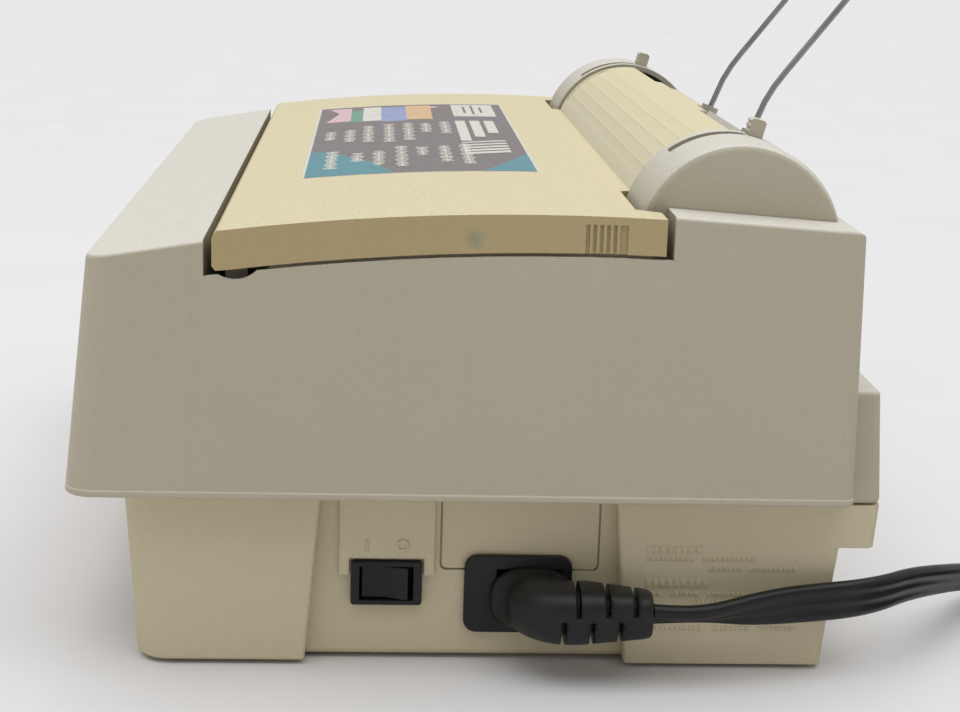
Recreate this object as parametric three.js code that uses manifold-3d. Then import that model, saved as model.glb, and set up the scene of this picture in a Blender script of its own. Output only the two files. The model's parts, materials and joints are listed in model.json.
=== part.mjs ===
// Desktop impact printer with a hinged access lid, a lift-off platen hood, a wire paper rest
// and a detachable mains lead.  Millimetres, +Z up.  The machine faces -Y, +X is its right side,
// and the origin is on the table under the middle of its plan outline.
import * as THREE from 'three';
import { mergeVertices } from 'three/addons/utils/BufferGeometryUtils.js';
import Module from 'manifold-3d';

const wasm = await Module();
wasm.setup();

// ---- driving dimensions -------------------------------------------------------------------
const GAP = 0.3;
const WALL = 2.2;

// upper shell
const HALF_WIDTH = 170;
const FRONT = -171.6;
const FRONT_LEAN = 0.103;
const REAR_LEAN = -0.03;
const REAR = 63;
const SHELL_BOTTOM = 56;
const DECK_FRONT_Z = 126.7;
const BAY_FRONT = -130;
const BAY_REAR = 4.3;
const DECK_REAR_Z = 142.3;
const BULGE_HALF = 160;
const BULGE_TOP = 89.5;
const BULGE_BOTTOM = 53.7;
const BULGE_REAR = 73.7;

// base
const BASE_BOTTOM = 1.4;
const BASE_WALL = 2.5;
const BASE_FRONT = -155.8;
const BASE_FRONT_LEAN = -0.068;
const PEDESTAL_HALF = 160;
const PANEL_HALF = 154.7;
const FOOT_X = 145;
const FOOT_YS = [-120.5, 36.5];

// lid
const LID_HALF = 169.5;
const LID_FRONT = -127.6;
const LID_REAR = 2;
const LID_HINGE = [-121.2, 130];
const LID_EAR_X = [157, 160];
const LID_SWEEP_R = 8.6;
const LID_PIN_R = 2;
const GRIP = { y: [-21.4, -9.2], z: [125, 139.5], ridges: 5, step: 1.95 };

// platen, hood and end caps share one axis
const PLATEN = [26.2, 130.7];
const PLATEN_R = 17;
const PLATEN_HALF = 111;
const SHAFT_R = 4;
const HOOD_R = 30;
const HOOD_HALF = 115;
const CAP_R = 31;
const CAP_INNER = 118.5;
const CAP_OUTER = 153;
const CAP_BOTTOM = 112;

// feed levers
const LEVER_ANGLE = 14;
const LEVER_TIP_R = 36.5;
const LEVER_X = [123, 128.5];
const LEVER_SLOT = [-36.3, 19];

// frames and carriage
const FRAME_X = [132, 134];
const ROD_END = FRAME_X[0] - GAP;
const REAR_ROD = { y: -15, z: 92, r: 4 };
const FRONT_ROD = { y: -62, z: 92, r: 3 };
const PULLEY_X = 110;
const PULLEY_Y = -38;
const PULLEY_R = 7;

// feed gears, module 1, in one column under the platen
const GEAR_X = [-141, -136];
const GEAR_TEETH = { platen: 32, idler: 20, pinion: 12 };
const IDLER_Z = PLATEN[1] - (GEAR_TEETH.platen + GEAR_TEETH.idler) / 2;
const PINION_Z = IDLER_Z - (GEAR_TEETH.idler + GEAR_TEETH.pinion) / 2;

// pressure rollers under the platen, and the bail in front of its top
const PRESSURE_R = 6;
const PRESSURE = [PLATEN[0], PLATEN[1] - PLATEN_R - GAP - PRESSURE_R];
const CRADLE_PIVOT = [50, 101];
const BAIL_ROLLER_R = 2.8;
const BAIL_PIVOT = [2, 124];
const BAIL_ANGLE = -45;

// power switch and mains inlet, on the right panel
const SWITCH = { y: -76.15, z: 25.65, width: 21.7, height: 13.9 };
const INLET = { y: -35.9, z: 22.3, width: 33, height: 24.8 };
const SOCKET = { y: [-42.6, -22.6], pins: [-38.6, -32.6, -26.6] };
const INLET_FACE = 156.9;

// keys on the sloping front face
const KEY_XS = [70, 95, 120];
const FACE_LEAN = Math.atan(FRONT_LEAN);

// wire paper rest
const WIRE_R = 1.5;
const WIRE_X = 41;
const WIRE_BEND = [56.1, 166.4];
const WIRE_LOWER_SLOPE = 2.5;
const WIRE_UPPER_SLOPE = 1.31;
const WIRE_TOP_Y = 168.3;

// mains lead
const CORD_R = 6;
const CORD_ROUTE = [
  [172, 3.3, 22.5], [172, 12, 22.4], [171.5, 22, 22.8], [170.2, 34, 23.6], [168.6, 46, 24.6],
  [167.6, 57, 25.3], [164.6, 67, 25.3], [158.4, 77, 24.8], [149, 86, 23.6], [138.4, 96, 21.1],
  [126.6, 106, 17.6], [114.6, 115.4, 13.8], [103.4, 124.6, 10], [93.3, 135, 7.4],
  [84.9, 147.6, 6.4], [79.3, 161, 6.3],
];
const COIL = { x: 154, y: 196, inner: 47, outer: 76, top: 14 };
const WALL_PLUG = { x: COIL.x + 26, y: COIL.y + 61.5, height: 22 };

// ---- solids -------------------------------------------------------------------------------
function solidOf(geometry) {
  const bare = geometry.clone();
  bare.deleteAttribute('normal');
  bare.deleteAttribute('uv');
  const merged = mergeVertices(bare, 1e-4);
  const mesh = new wasm.Mesh({
    numProp: 3,
    vertProperties: new Float32Array(merged.attributes.position.array),
    triVerts: new Uint32Array(merged.index.array),
  });
  return new wasm.Manifold(mesh);
}

function geometryOf(solid) {
  const mesh = solid.getMesh();
  const geometry = new THREE.BufferGeometry();
  geometry.setAttribute('position', new THREE.BufferAttribute(new Float32Array(mesh.vertProperties), 3));
  geometry.setIndex(new THREE.BufferAttribute(new Uint32Array(mesh.triVerts), 1));
  return geometry;
}

function joined(...solids) {
  return solids.reduce((whole, next) => whole.add(next));
}

function cut(solid, ...tools) {
  return tools.reduce((rest, tool) => rest.subtract(tool), solid);
}

function box(x, y, z) {
  const geometry = new THREE.BoxGeometry(x[1] - x[0], y[1] - y[0], z[1] - z[0]);
  geometry.translate((x[0] + x[1]) / 2, (y[0] + y[1]) / 2, (z[0] + z[1]) / 2);
  return solidOf(geometry);
}

// an interval of X on one side of the machine: side is 1 for the right, -1 for the left
function onSide(side, x) {
  return side > 0 ? x : [-x[1], -x[0]];
}

function shapeOf(points) {
  return new THREE.Shape(points.map(([a, b]) => new THREE.Vector2(a, b)));
}

// outline in (Y, Z), extruded along X
function alongX(points, x) {
  const geometry = new THREE.ExtrudeGeometry(shapeOf(points), { depth: x[1] - x[0], bevelEnabled: false });
  const turn = new THREE.Matrix4().makeBasis(
    new THREE.Vector3(0, 1, 0), new THREE.Vector3(0, 0, 1), new THREE.Vector3(1, 0, 0));
  geometry.applyMatrix4(turn);
  geometry.translate(x[0], 0, 0);
  return solidOf(geometry);
}

// outline in (X, Y), extruded along Z
function alongZ(points, z) {
  const geometry = new THREE.ExtrudeGeometry(shapeOf(points), { depth: z[1] - z[0], bevelEnabled: false });
  geometry.translate(0, 0, z[0]);
  return solidOf(geometry);
}

function rodX(r, x, [y, z], sides = 24) {
  const geometry = new THREE.CylinderGeometry(r, r, x[1] - x[0], sides);
  geometry.rotateZ(-Math.PI / 2);
  geometry.translate((x[0] + x[1]) / 2, y, z);
  return solidOf(geometry);
}

function rodZ(r, [x, y], z, sides = 24) {
  const geometry = new THREE.CylinderGeometry(r, r, z[1] - z[0], sides);
  geometry.rotateX(Math.PI / 2);
  geometry.translate(x, y, (z[0] + z[1]) / 2);
  return solidOf(geometry);
}

// a point of the platen's section, at an angle in degrees from straight up towards the rear
function aroundPlaten(angle, r) {
  const turn = THREE.MathUtils.degToRad(angle);
  return [PLATEN[0] + r * Math.sin(turn), PLATEN[1] + r * Math.cos(turn)];
}

function sector(inner, outer, from, to, steps = 24) {
  const at = (i) => from + (to - from) * i / steps;
  const outside = Array.from({ length: steps + 1 }, (_, i) => aroundPlaten(at(i), outer));
  const inside = Array.from({ length: steps + 1 }, (_, i) => aroundPlaten(at(steps - i), inner));
  return [...inside, ...outside].reverse();
}

// a wide arc z(y) with its top at (crownY, crownZ)
function crowned(crownY, crownZ, radius, from, to, steps = 10) {
  return Array.from({ length: steps + 1 }, (_, i) => {
    const y = from + (to - from) * i / steps;
    return [y, crownZ - (y - crownY) ** 2 / (2 * radius)];
  });
}

function roundedPlan(half, front, rear, frontR, rearR) {
  const shape = new THREE.Shape();
  shape.moveTo(-half + frontR, front);
  shape.absarc(half - frontR, front + frontR, frontR, -Math.PI / 2, 0);
  shape.absarc(half - rearR, rear - rearR, rearR, 0, Math.PI / 2);
  shape.absarc(-half + rearR, rear - rearR, rearR, Math.PI / 2, Math.PI);
  shape.absarc(-half + frontR, front + frontR, frontR, Math.PI, 1.5 * Math.PI);
  return shape.getPoints(6).slice(1).map((p) => [p.x, p.y]);
}

// a plan run up along Z whose front and rear lean, in mm of Y per mm above a level
function leaned(points, z, level, frontLean, rearLean) {
  return alongZ(points, z).warp((vertex) => {
    vertex[1] += (vertex[1] < 0 ? frontLean : rearLean) * (vertex[2] - level);
  });
}

// a box set square to the sloping front face: across, up the face, and into the machine
function faceBox(x, up, inward) {
  const geometry = new THREE.BoxGeometry(x[1] - x[0], inward[1] - inward[0], up[1] - up[0]);
  geometry.translate((x[0] + x[1]) / 2, (inward[0] + inward[1]) / 2, (up[0] + up[1]) / 2);
  geometry.rotateX(-FACE_LEAN);
  geometry.translate(0, FRONT, SHELL_BOTTOM + 2);
  return solidOf(geometry);
}

// ---- the exported group -------------------------------------------------------------------
const printer = new THREE.Group();

function place(name, solid, color, roughness, metalness = 0) {
  const material = new THREE.MeshStandardMaterial({ color, roughness, metalness });
  const mesh = new THREE.Mesh(geometryOf(solid), material);
  mesh.name = name;
  printer.add(mesh);
}

const SHELL_COLOR = 0xd6d0c0;
const AGED_COLOR = 0xd9c795;
const BASE_COLOR = 0xc9bfa3;
const BLACK = 0x1a1a1c;
const STEEL = 0x8f9295;

// ---- base and feet ------------------------------------------------------------------------
function baseTray() {
  const top = SHELL_BOTTOM + 2.1;
  const seam = SHELL_BOTTOM - GAP;
  const lipRear = REAR - 3.5;
  const narrow = [-PANEL_HALF, PANEL_HALF];
  const wide = [-PEDESTAL_HALF, PEDESTAL_HALF];
  const frontFoot = [BASE_FRONT - BASE_FRONT_LEAN * (seam - BASE_BOTTOM), BASE_BOTTOM];
  const frontEdge = [[BASE_FRONT, top], [BASE_FRONT, seam]];
  const middle = [frontFoot, [59.1, BASE_BOTTOM], [61.7, 39.7], [62.6, seam], [lipRear, seam], [lipRear, top],
    ...frontEdge];
  const frontPedestal = [frontFoot, [-100.7, BASE_BOTTOM], [-95.7, top], ...frontEdge];
  const rearPedestal = [[-2.7, BASE_BOTTOM], [59.1, BASE_BOTTOM], [61.7, 39.7], [72.8, 39.7],
    [BULGE_REAR, BULGE_BOTTOM - GAP], [60.5, BULGE_BOTTOM - GAP], [60.5, seam], [lipRear, seam],
    [lipRear, top],
    [-7.5, top]];
  const outside = joined(alongX(middle, narrow), alongX(frontPedestal, wide), alongX(rearPedestal, wide))
    .intersect(leaned(roundedPlan(PEDESTAL_HALF, BASE_FRONT, BULGE_REAR, 10, 3), [0, 70],
      seam, BASE_FRONT_LEAN, 0));
  const rim = alongZ(roundedPlan(HALF_WIDTH - WALL - 0.5, FRONT + WALL + 0.6, lipRear, 7, 2),
    [SHELL_BOTTOM + GAP, top]);

  const floor = BASE_BOTTOM + BASE_WALL;
  const insideWide = [-PEDESTAL_HALF + BASE_WALL, PEDESTAL_HALF - BASE_WALL];
  const insideFront = [[-154.3, 70], [-149.8, floor]];
  const inside = joined(
    alongX([...insideFront, [55.8, floor], [57.2, 70]], [-PANEL_HALF + BASE_WALL, PANEL_HALF - BASE_WALL]),
    alongX([...insideFront, [-103.2, floor], [-98.3, 70]], insideWide),
    alongX([[-0.2, floor], [55.8, floor], [57.2, 70], [-5, 70]], insideWide),
    alongX([[50, 42.2], [70.4, 42.2], [71.2, 70], [50, 70]], insideWide),
  ).intersect(leaned(
    roundedPlan(PEDESTAL_HALF - BASE_WALL, BASE_FRONT + BASE_WALL, BULGE_REAR - BASE_WALL, 8, 2),
    [0, 80], seam, BASE_FRONT_LEAN, 0,
  ));

  const plateX = [PANEL_HALF - 1, PANEL_HALF + 1.6];
  const plate = joined(
    box(plateX, [-90.5, -61.8], [33.4, seam]),
    box(plateX, [-90.5, -87.6], [28, 34]),
    box(plateX, [-64.7, -61.8], [28, 34]),
  );
  const holes = [
    box([148, 160], [SWITCH.y - 10.1, SWITCH.y + 10.1], [SWITCH.z - 6.5, SWITCH.z + 6.5]),
    box([148, 160], [INLET.y - 15.5, INLET.y + 15.5], [INLET.z - 10.6, INLET.z + 10.6]),
    ...[-FOOT_X, FOOT_X].flatMap((x) => FOOT_YS.map((y) => rodZ(2.8, [x, y], [0, 8], 16))),
  ];
  return cut(joined(outside, rim), inside).add(plate).subtract(joined(...holes));
}

function foot(x, y) {
  return joined(
    rodZ(6, [x, y], [0, BASE_BOTTOM - GAP], 20),
    rodZ(2.4, [x, y], [0.4, 6.4], 12),
    rodZ(4, [x, y], [BASE_BOTTOM + BASE_WALL + GAP, 6.4], 16),
  );
}

// ---- upper shell --------------------------------------------------------------------------
function lidLedge(from, to, lift = 0) {
  return crowned(-23, 130 + lift, 730, from, to);
}

// a low rib just inside each side wall, which locates the closed lid
function lidRib(side) {
  const under = lidLedge(-111.5, -1.5, -4).reverse();
  const rib = alongX([...lidLedge(-111.5, -1.5, 3), ...under].reverse(), onSide(side, [164.8, 166.7]));
  const root = alongX([...lidLedge(-111.5, -1.5, -1), ...under].reverse(),
    onSide(side, [166, HALF_WIDTH - WALL + 0.5]));
  return joined(rib, root);
}

function hingeEar(side) {
  const [y, z] = LID_HINGE;
  const x = onSide(side, LID_EAR_X);
  const web = onSide(side, [LID_EAR_X[0], HALF_WIDTH - WALL + 0.5]);
  const ear = joined(
    box(x, [y - 3.2, y + 3.2], [106, z]),
    rodX(3.4, x, LID_HINGE, 20),
    box(web, [y - 3.2, y + 3.2], [106, 117]),
  );
  return cut(ear, rodX(LID_PIN_R + 0.35, onSide(side, [LID_EAR_X[0] - 1, LID_EAR_X[1] + 1]), LID_HINGE, 20));
}

function upperShell() {
  const outline = [
    [FRONT, SHELL_BOTTOM], [REAR, SHELL_BOTTOM], [61.9, 95.4], [60.8, 135.9], [59.5, 138], [57.7, 138.9],
    [BAY_REAR, DECK_REAR_Z],
    ...lidLedge(BAY_REAR, BAY_FRONT),
    [BAY_FRONT, 132.7], [-163.5, DECK_FRONT_Z + 0.2], [-164.5, DECK_FRONT_Z - 1],
    [FRONT, SHELL_BOTTOM + 2],
  ];
  const body = alongX(outline, [-HALF_WIDTH, HALF_WIDTH])
    .intersect(leaned(roundedPlan(HALF_WIDTH, FRONT, REAR, 9.5, 3.5), [50, 160], SHELL_BOTTOM + 2,
      FRONT_LEAN, REAR_LEAN));
  const bulge = alongX([[58, BULGE_BOTTOM], [BULGE_REAR, BULGE_BOTTOM], [71, BULGE_TOP], [58, BULGE_TOP]],
    [-BULGE_HALF, BULGE_HALF]);

  const insideHalf = HALF_WIDTH - WALL;
  const room = alongX([
    [-169.3, SHELL_BOTTOM + 2], [-169.3, 50], [60.9, 50], [59.9, 95], [58.7, 134.9], [57, 136.6],
    [BAY_REAR + WALL, 139.9], [BAY_REAR + WALL, 118],
    [BAY_REAR, 118], [BAY_REAR, 160], [BAY_FRONT, 160], [BAY_FRONT, 112],
    [BAY_FRONT - WALL, 112], [BAY_FRONT - WALL, 130.1], [-162.4, 124.3],
  ], [-insideHalf, insideHalf])
    .intersect(leaned(roundedPlan(insideHalf, FRONT + WALL, REAR - WALL, 7.3, 1.5), [40, 170],
      SHELL_BOTTOM + 2, FRONT_LEAN, REAR_LEAN));
  const bulgeRoom = alongX([[50, 50], [71.6, 50], [68.9, BULGE_TOP - WALL], [50, BULGE_TOP - WALL]],
    [-BULGE_HALF + WALL, BULGE_HALF - WALL]);
  const capHole = box([-CAP_OUTER - GAP, CAP_OUTER + GAP], [0, 57.3], [118, 160]);

  const lidSweep = [-1, 1].flatMap((side) => [
    rodX(LID_SWEEP_R, onSide(side, [160.5, 172]), LID_HINGE, 40),
  ]);
  const keyHoles = KEY_XS.flatMap((x) => [
    faceBox([x - 8.4, x + 8.4], [35.6, 44.4], [-4, 6]),
    faceBox([x - 2.9, x + 2.9], [49.5, 52.5], [-4, 6]),
  ]);
  const plugHole = box([-110, -50], [60, 80], [62, 78]);
  const hollow = cut(joined(body, bulge), room, bulgeRoom, capHole, ...lidSweep, ...keyHoles, plugHole);
  return joined(hollow, hingeEar(1), hingeEar(-1), lidRib(1), lidRib(-1));
}

function rearCover() {
  const skin = alongX(sector(CAP_R - WALL, CAP_R, 49, 96), [-CAP_INNER + GAP, CAP_INNER - GAP]);
  const low = wireAxis(145);
  const high = wireAxis(152.4);
  const bosses = [-WIRE_X, WIRE_X].map((x) => slantRod(3.4, x, low, high));
  const bores = [-WIRE_X, WIRE_X].map((x) => slantRod(WIRE_R + 0.35, x, wireAxis(140), wireAxis(158)));
  return cut(joined(skin, ...bosses), ...bores);
}

// ---- end caps and feed levers -------------------------------------------------------------
function endCap(side) {
  const profile = [[0, CAP_OUTER - WALL], [CAP_R - WALL, CAP_OUTER - WALL], [CAP_R - WALL, CAP_INNER],
    [CAP_R, CAP_INNER], [CAP_R, CAP_OUTER - 3], [CAP_R - 0.9, CAP_OUTER - 0.9], [CAP_R - 3, CAP_OUTER],
    [0, CAP_OUTER]];
  const geometry = new THREE.LatheGeometry(profile.map(([r, x]) => new THREE.Vector2(r, x)), 64);
  geometry.rotateZ(side > 0 ? -Math.PI / 2 : Math.PI / 2);
  geometry.translate(0, PLATEN[0], PLATEN[1]);
  const slotX = onSide(side, [LEVER_X[0] - 0.5, LEVER_X[1] + 0.5]);
  return solidOf(geometry)
    .intersect(box([-160, 160], [-10, 57], [CAP_BOTTOM, 170]))
    .subtract(alongX(sector(26, 35, ...LEVER_SLOT), slotX));
}

function feedLever(side) {
  const x = onSide(side, LEVER_X);
  const half = 2.5;
  const corners = [[-half, 6], [half, 6], [half, LEVER_TIP_R - 0.8], [half - 0.8, LEVER_TIP_R],
    [-half + 0.8, LEVER_TIP_R], [-half, LEVER_TIP_R - 0.8]];
  const turn = THREE.MathUtils.degToRad(LEVER_ANGLE);
  const arm = corners.map(([a, r]) => [
    PLATEN[0] + a * Math.cos(turn) + r * Math.sin(turn),
    PLATEN[1] - a * Math.sin(turn) + r * Math.cos(turn),
  ]);
  return cut(joined(alongX(arm, x), rodX(9, x, PLATEN)), rodX(SHAFT_R + 0.4, [x[0] - 1, x[1] + 1], PLATEN));
}

// ---- lid and hood -------------------------------------------------------------------------
function lidPlan(half, front, rear, cutRear, middleRear) {
  return [
    [-half, front], [half, front], [half, rear], [157, rear], [153.6, cutRear], [118.2, cutRear],
    [116.4, middleRear], [-116.4, middleRear], [-118.2, cutRear], [-153.6, cutRear], [-157, rear],
    [-half, rear],
  ];
}

function lidSection(front, rear, drop) {
  const topFront = 135.2 - drop;
  return [
    [front + 1, 123.9 - 3 * drop], ...lidLedge(front + 4, rear, 1.1 - 3 * drop),
    ...crowned(-29, 142.05 - drop, 710, rear, front + 1.5),
    [front + 0.4, topFront - 1], [front, topFront - 2], [front, 125.3],
  ];
}

function lid() {
  const outer = alongX(lidSection(LID_FRONT, LID_REAR, 0), [-LID_HALF, LID_HALF])
    .intersect(alongZ(lidPlan(LID_HALF, LID_FRONT, LID_REAR, -5.3, -1.8), [110, 150]));
  const inner = alongX(lidSection(LID_FRONT + WALL, LID_REAR, WALL), [-LID_HALF + WALL, LID_HALF - WALL])
    .intersect(alongZ(lidPlan(LID_HALF - WALL, LID_FRONT + WALL, LID_REAR - WALL, -7.5, -4), [100, 150]));
  const pins = [-1, 1].map((side) => rodX(LID_PIN_R, onSide(side, [LID_EAR_X[0] - 1, 168]), LID_HINGE, 20));
  const openings = [
    box([-118, 118], [-12, 5], [120, 135.5]),
    ...[-1, 1].map((side) =>
      box(onSide(side, [LID_EAR_X[0] - 2, LID_HALF - WALL]), [-131, -124.5], [120, 133.4])),
  ];
  const grips = [-1, 1].map((side) => {
    const patch = box(onSide(side, [LID_HALF - 0.9, LID_HALF + 1]), GRIP.y, GRIP.z);
    const ridges = Array.from({ length: GRIP.ridges }, (_, i) => {
      const y = GRIP.y[0] + GRIP.step * (i + 0.6);
      return box(onSide(side, [LID_HALF - 1, LID_HALF]), [y, y + 0.9], [131.2, GRIP.z[1]]);
    });
    return cut(patch, ...ridges);
  });
  return joined(cut(outer, inner, ...openings, ...grips), ...pins);
}

function hood() {
  const inner = HOOD_R - WALL;
  const skin = alongX(sector(inner, HOOD_R, -66, 6.5), [-HOOD_HALF, HOOD_HALF]);
  const tab = alongX(sector(inner, HOOD_R, 0, 12, 8), [-52, 52]);
  const bump = alongX(sector(inner, HOOD_R, 6, 17, 8), [-30, 30]);
  const ribs = [-1, 1].map((side) =>
    alongX(sector(26, HOOD_R - 0.5, -66, 6.5), onSide(side, [HOOD_HALF - WALL, HOOD_HALF])));
  return joined(skin, tab, bump, ...ribs);
}

// ---- platen, gears and paper path ---------------------------------------------------------
function gear(teeth, z, valleyUp, shaftR, bore) {
  const pitchR = teeth / 2;
  const step = 2 * Math.PI / teeth;
  const flanks = [[-0.86, -1.15], [-0.3, 0.8], [0.3, 0.8], [0.86, -1.15]];
  const points = [];
  for (let i = 0; i < teeth; i += 1) {
    const middle = (i + (valleyUp ? 0.5 : 0)) * step;
    flanks.forEach(([across, out]) => {
      const r = pitchR + out;
      const angle = middle + across / pitchR;
      points.push([PLATEN[0] - r * Math.sin(angle), z + r * Math.cos(angle)]);
    });
  }
  const wheel = alongX(points, GEAR_X);
  return bore ? cut(wheel, rodX(shaftR, [GEAR_X[0] - 1, GEAR_X[1] + 1], [PLATEN[0], z])) : wheel;
}

function feedPinion() {
  return joined(gear(GEAR_TEETH.pinion, PINION_Z, true, 0, false),
    rodX(2, [GEAR_X[0], -126], [PLATEN[0], PINION_Z], 16));
}

function platenRoller() {
  const bore = rodX(SHAFT_R + GAP, [-120, 120], PLATEN);
  return cut(rodX(PLATEN_R, [-PLATEN_HALF, PLATEN_HALF], PLATEN, 48), bore);
}

function paperPan() {
  const pan = alongX(sector(PLATEN_R + 2.3, PLATEN_R + 3.8, 65, 230, 36), [-112, 112]);
  const windows = [-1, 1].map((side) =>
    alongX(sector(PLATEN_R, PLATEN_R + 6, 156, 204), onSide(side, [35, 93])));
  return cut(pan, ...windows);
}

function pressureRollers() {
  const rollers = [-1, 1].map((side) => rodX(PRESSURE_R, onSide(side, [38, 82]), PRESSURE));
  return joined(rodX(1.8, [-92.6, 92.6], PRESSURE, 16), ...rollers);
}

function pressureCradle() {
  const arms = [-1, 1].map((side) => {
    const x = onSide(side, [88, 91]);
    const arm = alongX([[21.5, 97], [53, 97], [53, 103.5], [31, 111.5], [21.5, 111.5]], x);
    return cut(arm, rodX(2.2, [x[0] - 1, x[1] + 1], PRESSURE, 16));
  });
  const table = box([-91, 91], [21.5, 53], [96, 98]);
  return joined(table, rodX(2, [-ROD_END, ROD_END], CRADLE_PIVOT, 16), ...arms);
}

function bailAt() {
  return aroundPlaten(BAIL_ANGLE, PLATEN_R + 0.35 + BAIL_ROLLER_R);
}

function paperBail() {
  const bar = bailAt();
  const arms = [-1, 1].map((side) => {
    const x = onSide(side, [119.5, 121.5]);
    const along = [bar[0] - BAIL_PIVOT[0], bar[1] - BAIL_PIVOT[1]];
    const length = Math.hypot(...along);
    const across = [-along[1] / length * 2.4, along[0] / length * 2.4];
    const arm = [
      [BAIL_PIVOT[0] - across[0], BAIL_PIVOT[1] - across[1]], [bar[0] - across[0], bar[1] - across[1]],
      [bar[0] + across[0], bar[1] + across[1]], [BAIL_PIVOT[0] + across[0], BAIL_PIVOT[1] + across[1]],
    ];
    return joined(alongX(arm, x), rodX(2.4, x, bar, 16), rodX(2.4, x, BAIL_PIVOT, 16),
      rodX(1.6, onSide(side, [121, ROD_END]), BAIL_PIVOT, 16));
  });
  return joined(rodX(1.4, [-120, 120], bar, 16), ...arms);
}

function bailRoller(x) {
  const bar = bailAt();
  return cut(rodX(BAIL_ROLLER_R, [x - 6, x + 6], bar, 20), rodX(1.75, [x - 7, x + 7], bar, 16));
}

// ---- chassis ------------------------------------------------------------------------------
function sideFrame(side) {
  const x = onSide(side, FRAME_X);
  const plate = joined(
    alongX([[-80, 8], [50, 8], [50, 108], [38, 120], [14, 120], [4, 104], [-80, 104]], x),
    rodX(12, x, PLATEN, 32),
  );
  const holes = [rodX(6.3, [x[0] - 1, x[1] + 1], PLATEN)];
  if (side > 0) {
    return cut(plate, ...holes);
  }
  const motorHole = rodX(5, [x[0] - 1, x[1] + 1], [PLATEN[0], PINION_Z], 20);
  const stub = rodX(2.5, [GEAR_X[0] - 1, x[1]], [PLATEN[0], IDLER_Z], 16);
  return cut(plate, ...holes, motorHole).add(stub);
}

function platenBush(side) {
  const x = onSide(side, [130.6, 135.4]);
  const flange = onSide(side, [130.6, FRAME_X[0] - GAP]);
  const bore = rodX(SHAFT_R + GAP, [x[0] - 1, x[1] + 1], PLATEN);
  return cut(joined(rodX(6, x, PLATEN), rodX(8, flange, PLATEN)), bore);
}

function lineFeedMotor() {
  const body = rodX(17, [-ROD_END, -112], [PLATEN[0], PINION_Z], 32);
  const lugs = box([-ROD_END, -130], [PLATEN[0] - 24, PLATEN[0] + 24], [PINION_Z - 5, PINION_Z + 5]);
  return cut(joined(body, lugs), rodX(2.4, [-133, -125], [PLATEN[0], PINION_Z], 16));
}

function carriageMotor() {
  const body = rodZ(17.5, [-PULLEY_X, PULLEY_Y], [38, 73], 32);
  const lugs = box([-PULLEY_X - 20, -PULLEY_X + 20], [PULLEY_Y - 5, PULLEY_Y + 5], [71, 73]);
  return cut(joined(body, lugs), rodZ(2.4, [-PULLEY_X, PULLEY_Y], [64, 75], 16));
}

function drivePulley() {
  const shaft = rodZ(2, [-PULLEY_X, PULLEY_Y], [65, 76], 16);
  return joined(rodZ(PULLEY_R, [-PULLEY_X, PULLEY_Y], [75, 82.5]), shaft);
}

function idlerPulley() {
  return cut(rodZ(PULLEY_R, [PULLEY_X, PULLEY_Y], [75, 82.5]), rodZ(2.4, [PULLEY_X, PULLEY_Y], [70, 90], 16));
}

function idlerBracket() {
  return joined(
    box([PULLEY_X - 9, ROD_END], [PULLEY_Y - 12, PULLEY_Y + 12], [72, 74]),
    box([ROD_END - 2, ROD_END], [PULLEY_Y - 12, PULLEY_Y + 12], [62, 74]),
    rodZ(2, [PULLEY_X, PULLEY_Y], [73, 83.2], 16),
  );
}

function stadium(r) {
  const shape = new THREE.Shape();
  shape.absarc(PULLEY_X, PULLEY_Y, r, -Math.PI / 2, Math.PI / 2);
  shape.absarc(-PULLEY_X, PULLEY_Y, r, Math.PI / 2, 1.5 * Math.PI);
  return shape.getPoints(16).slice(1).map((p) => [p.x, p.y]);
}

function driveBelt() {
  return cut(alongZ(stadium(PULLEY_R + 1.5), [76, 81.5]), alongZ(stadium(PULLEY_R + GAP), [75, 83]));
}

function carriage() {
  const block = box([-24, 24], [-70, -7], [84.4, 100]);
  const posts = [-20, 15].flatMap((x) => [-56, -38].map((y) => box([x, x + 5], [y, y + 5], [99, 121.7])));
  const beltTab = box([-6, 6], [PULLEY_Y + PULLEY_R + 1.8, PULLEY_Y + PULLEY_R + 4.5], [76, 85]);
  const bores = [REAR_ROD, FRONT_ROD].map(({ y, z, r }) => rodX(r + 0.35, [-30, 30], [y, z]));
  return cut(joined(block, ...posts, beltTab), ...bores);
}

function printHead() {
  const core = box([-10, 10], [-31, -9], [100.3, 118]);
  const fins = [0, 1, 2, 3, 4].map((i) => box([-16, 16], [-30 + 5 * i, -28.5 + 5 * i], [102, 117]));
  const nose = alongX([[-24, 117], [-10, 117], [8.4, 127.5], [8.4, 132], [-4, 132], [-24, 121]], [-5, 5]);
  return joined(core, ...fins, nose);
}

function ribbonCartridge() {
  const body = alongZ([[-42, -50], [-34, -58], [34, -58], [42, -50], [42, -9], [18, -9], [18, 5], [12.5, 5],
    [12.5, -24], [-12.5, -24], [-12.5, 5], [-18, 5], [-18, -9], [-42, -9]], [122, 132]);
  const knob = rodZ(5, [30, -44], [131, 135]);
  return joined(body, knob);
}

// ---- electrics ----------------------------------------------------------------------------
function mainBoard() {
  const chips = [[-80, -60], [-40, -60], [0, -60], [-80, 0], [-30, 5], [20, -10]].map(([x, y]) =>
    box([x, x + 26], [y, y + 12], [31, 35]));
  const cans = [[-105, 25], [-88, 25]].map((at) => rodZ(6, at, [31, 48], 20));
  return joined(box([-125, 60], [-90, 45], [30, 31.6]), ...chips, ...cans);
}

function transformer() {
  return joined(
    box([72, 124], [-80, -30], [10, 54]),
    box([82, 114], [-88, -22], [16, 48]),
    box([66, 130], [-72, -38], [8, 11]),
  );
}

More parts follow.
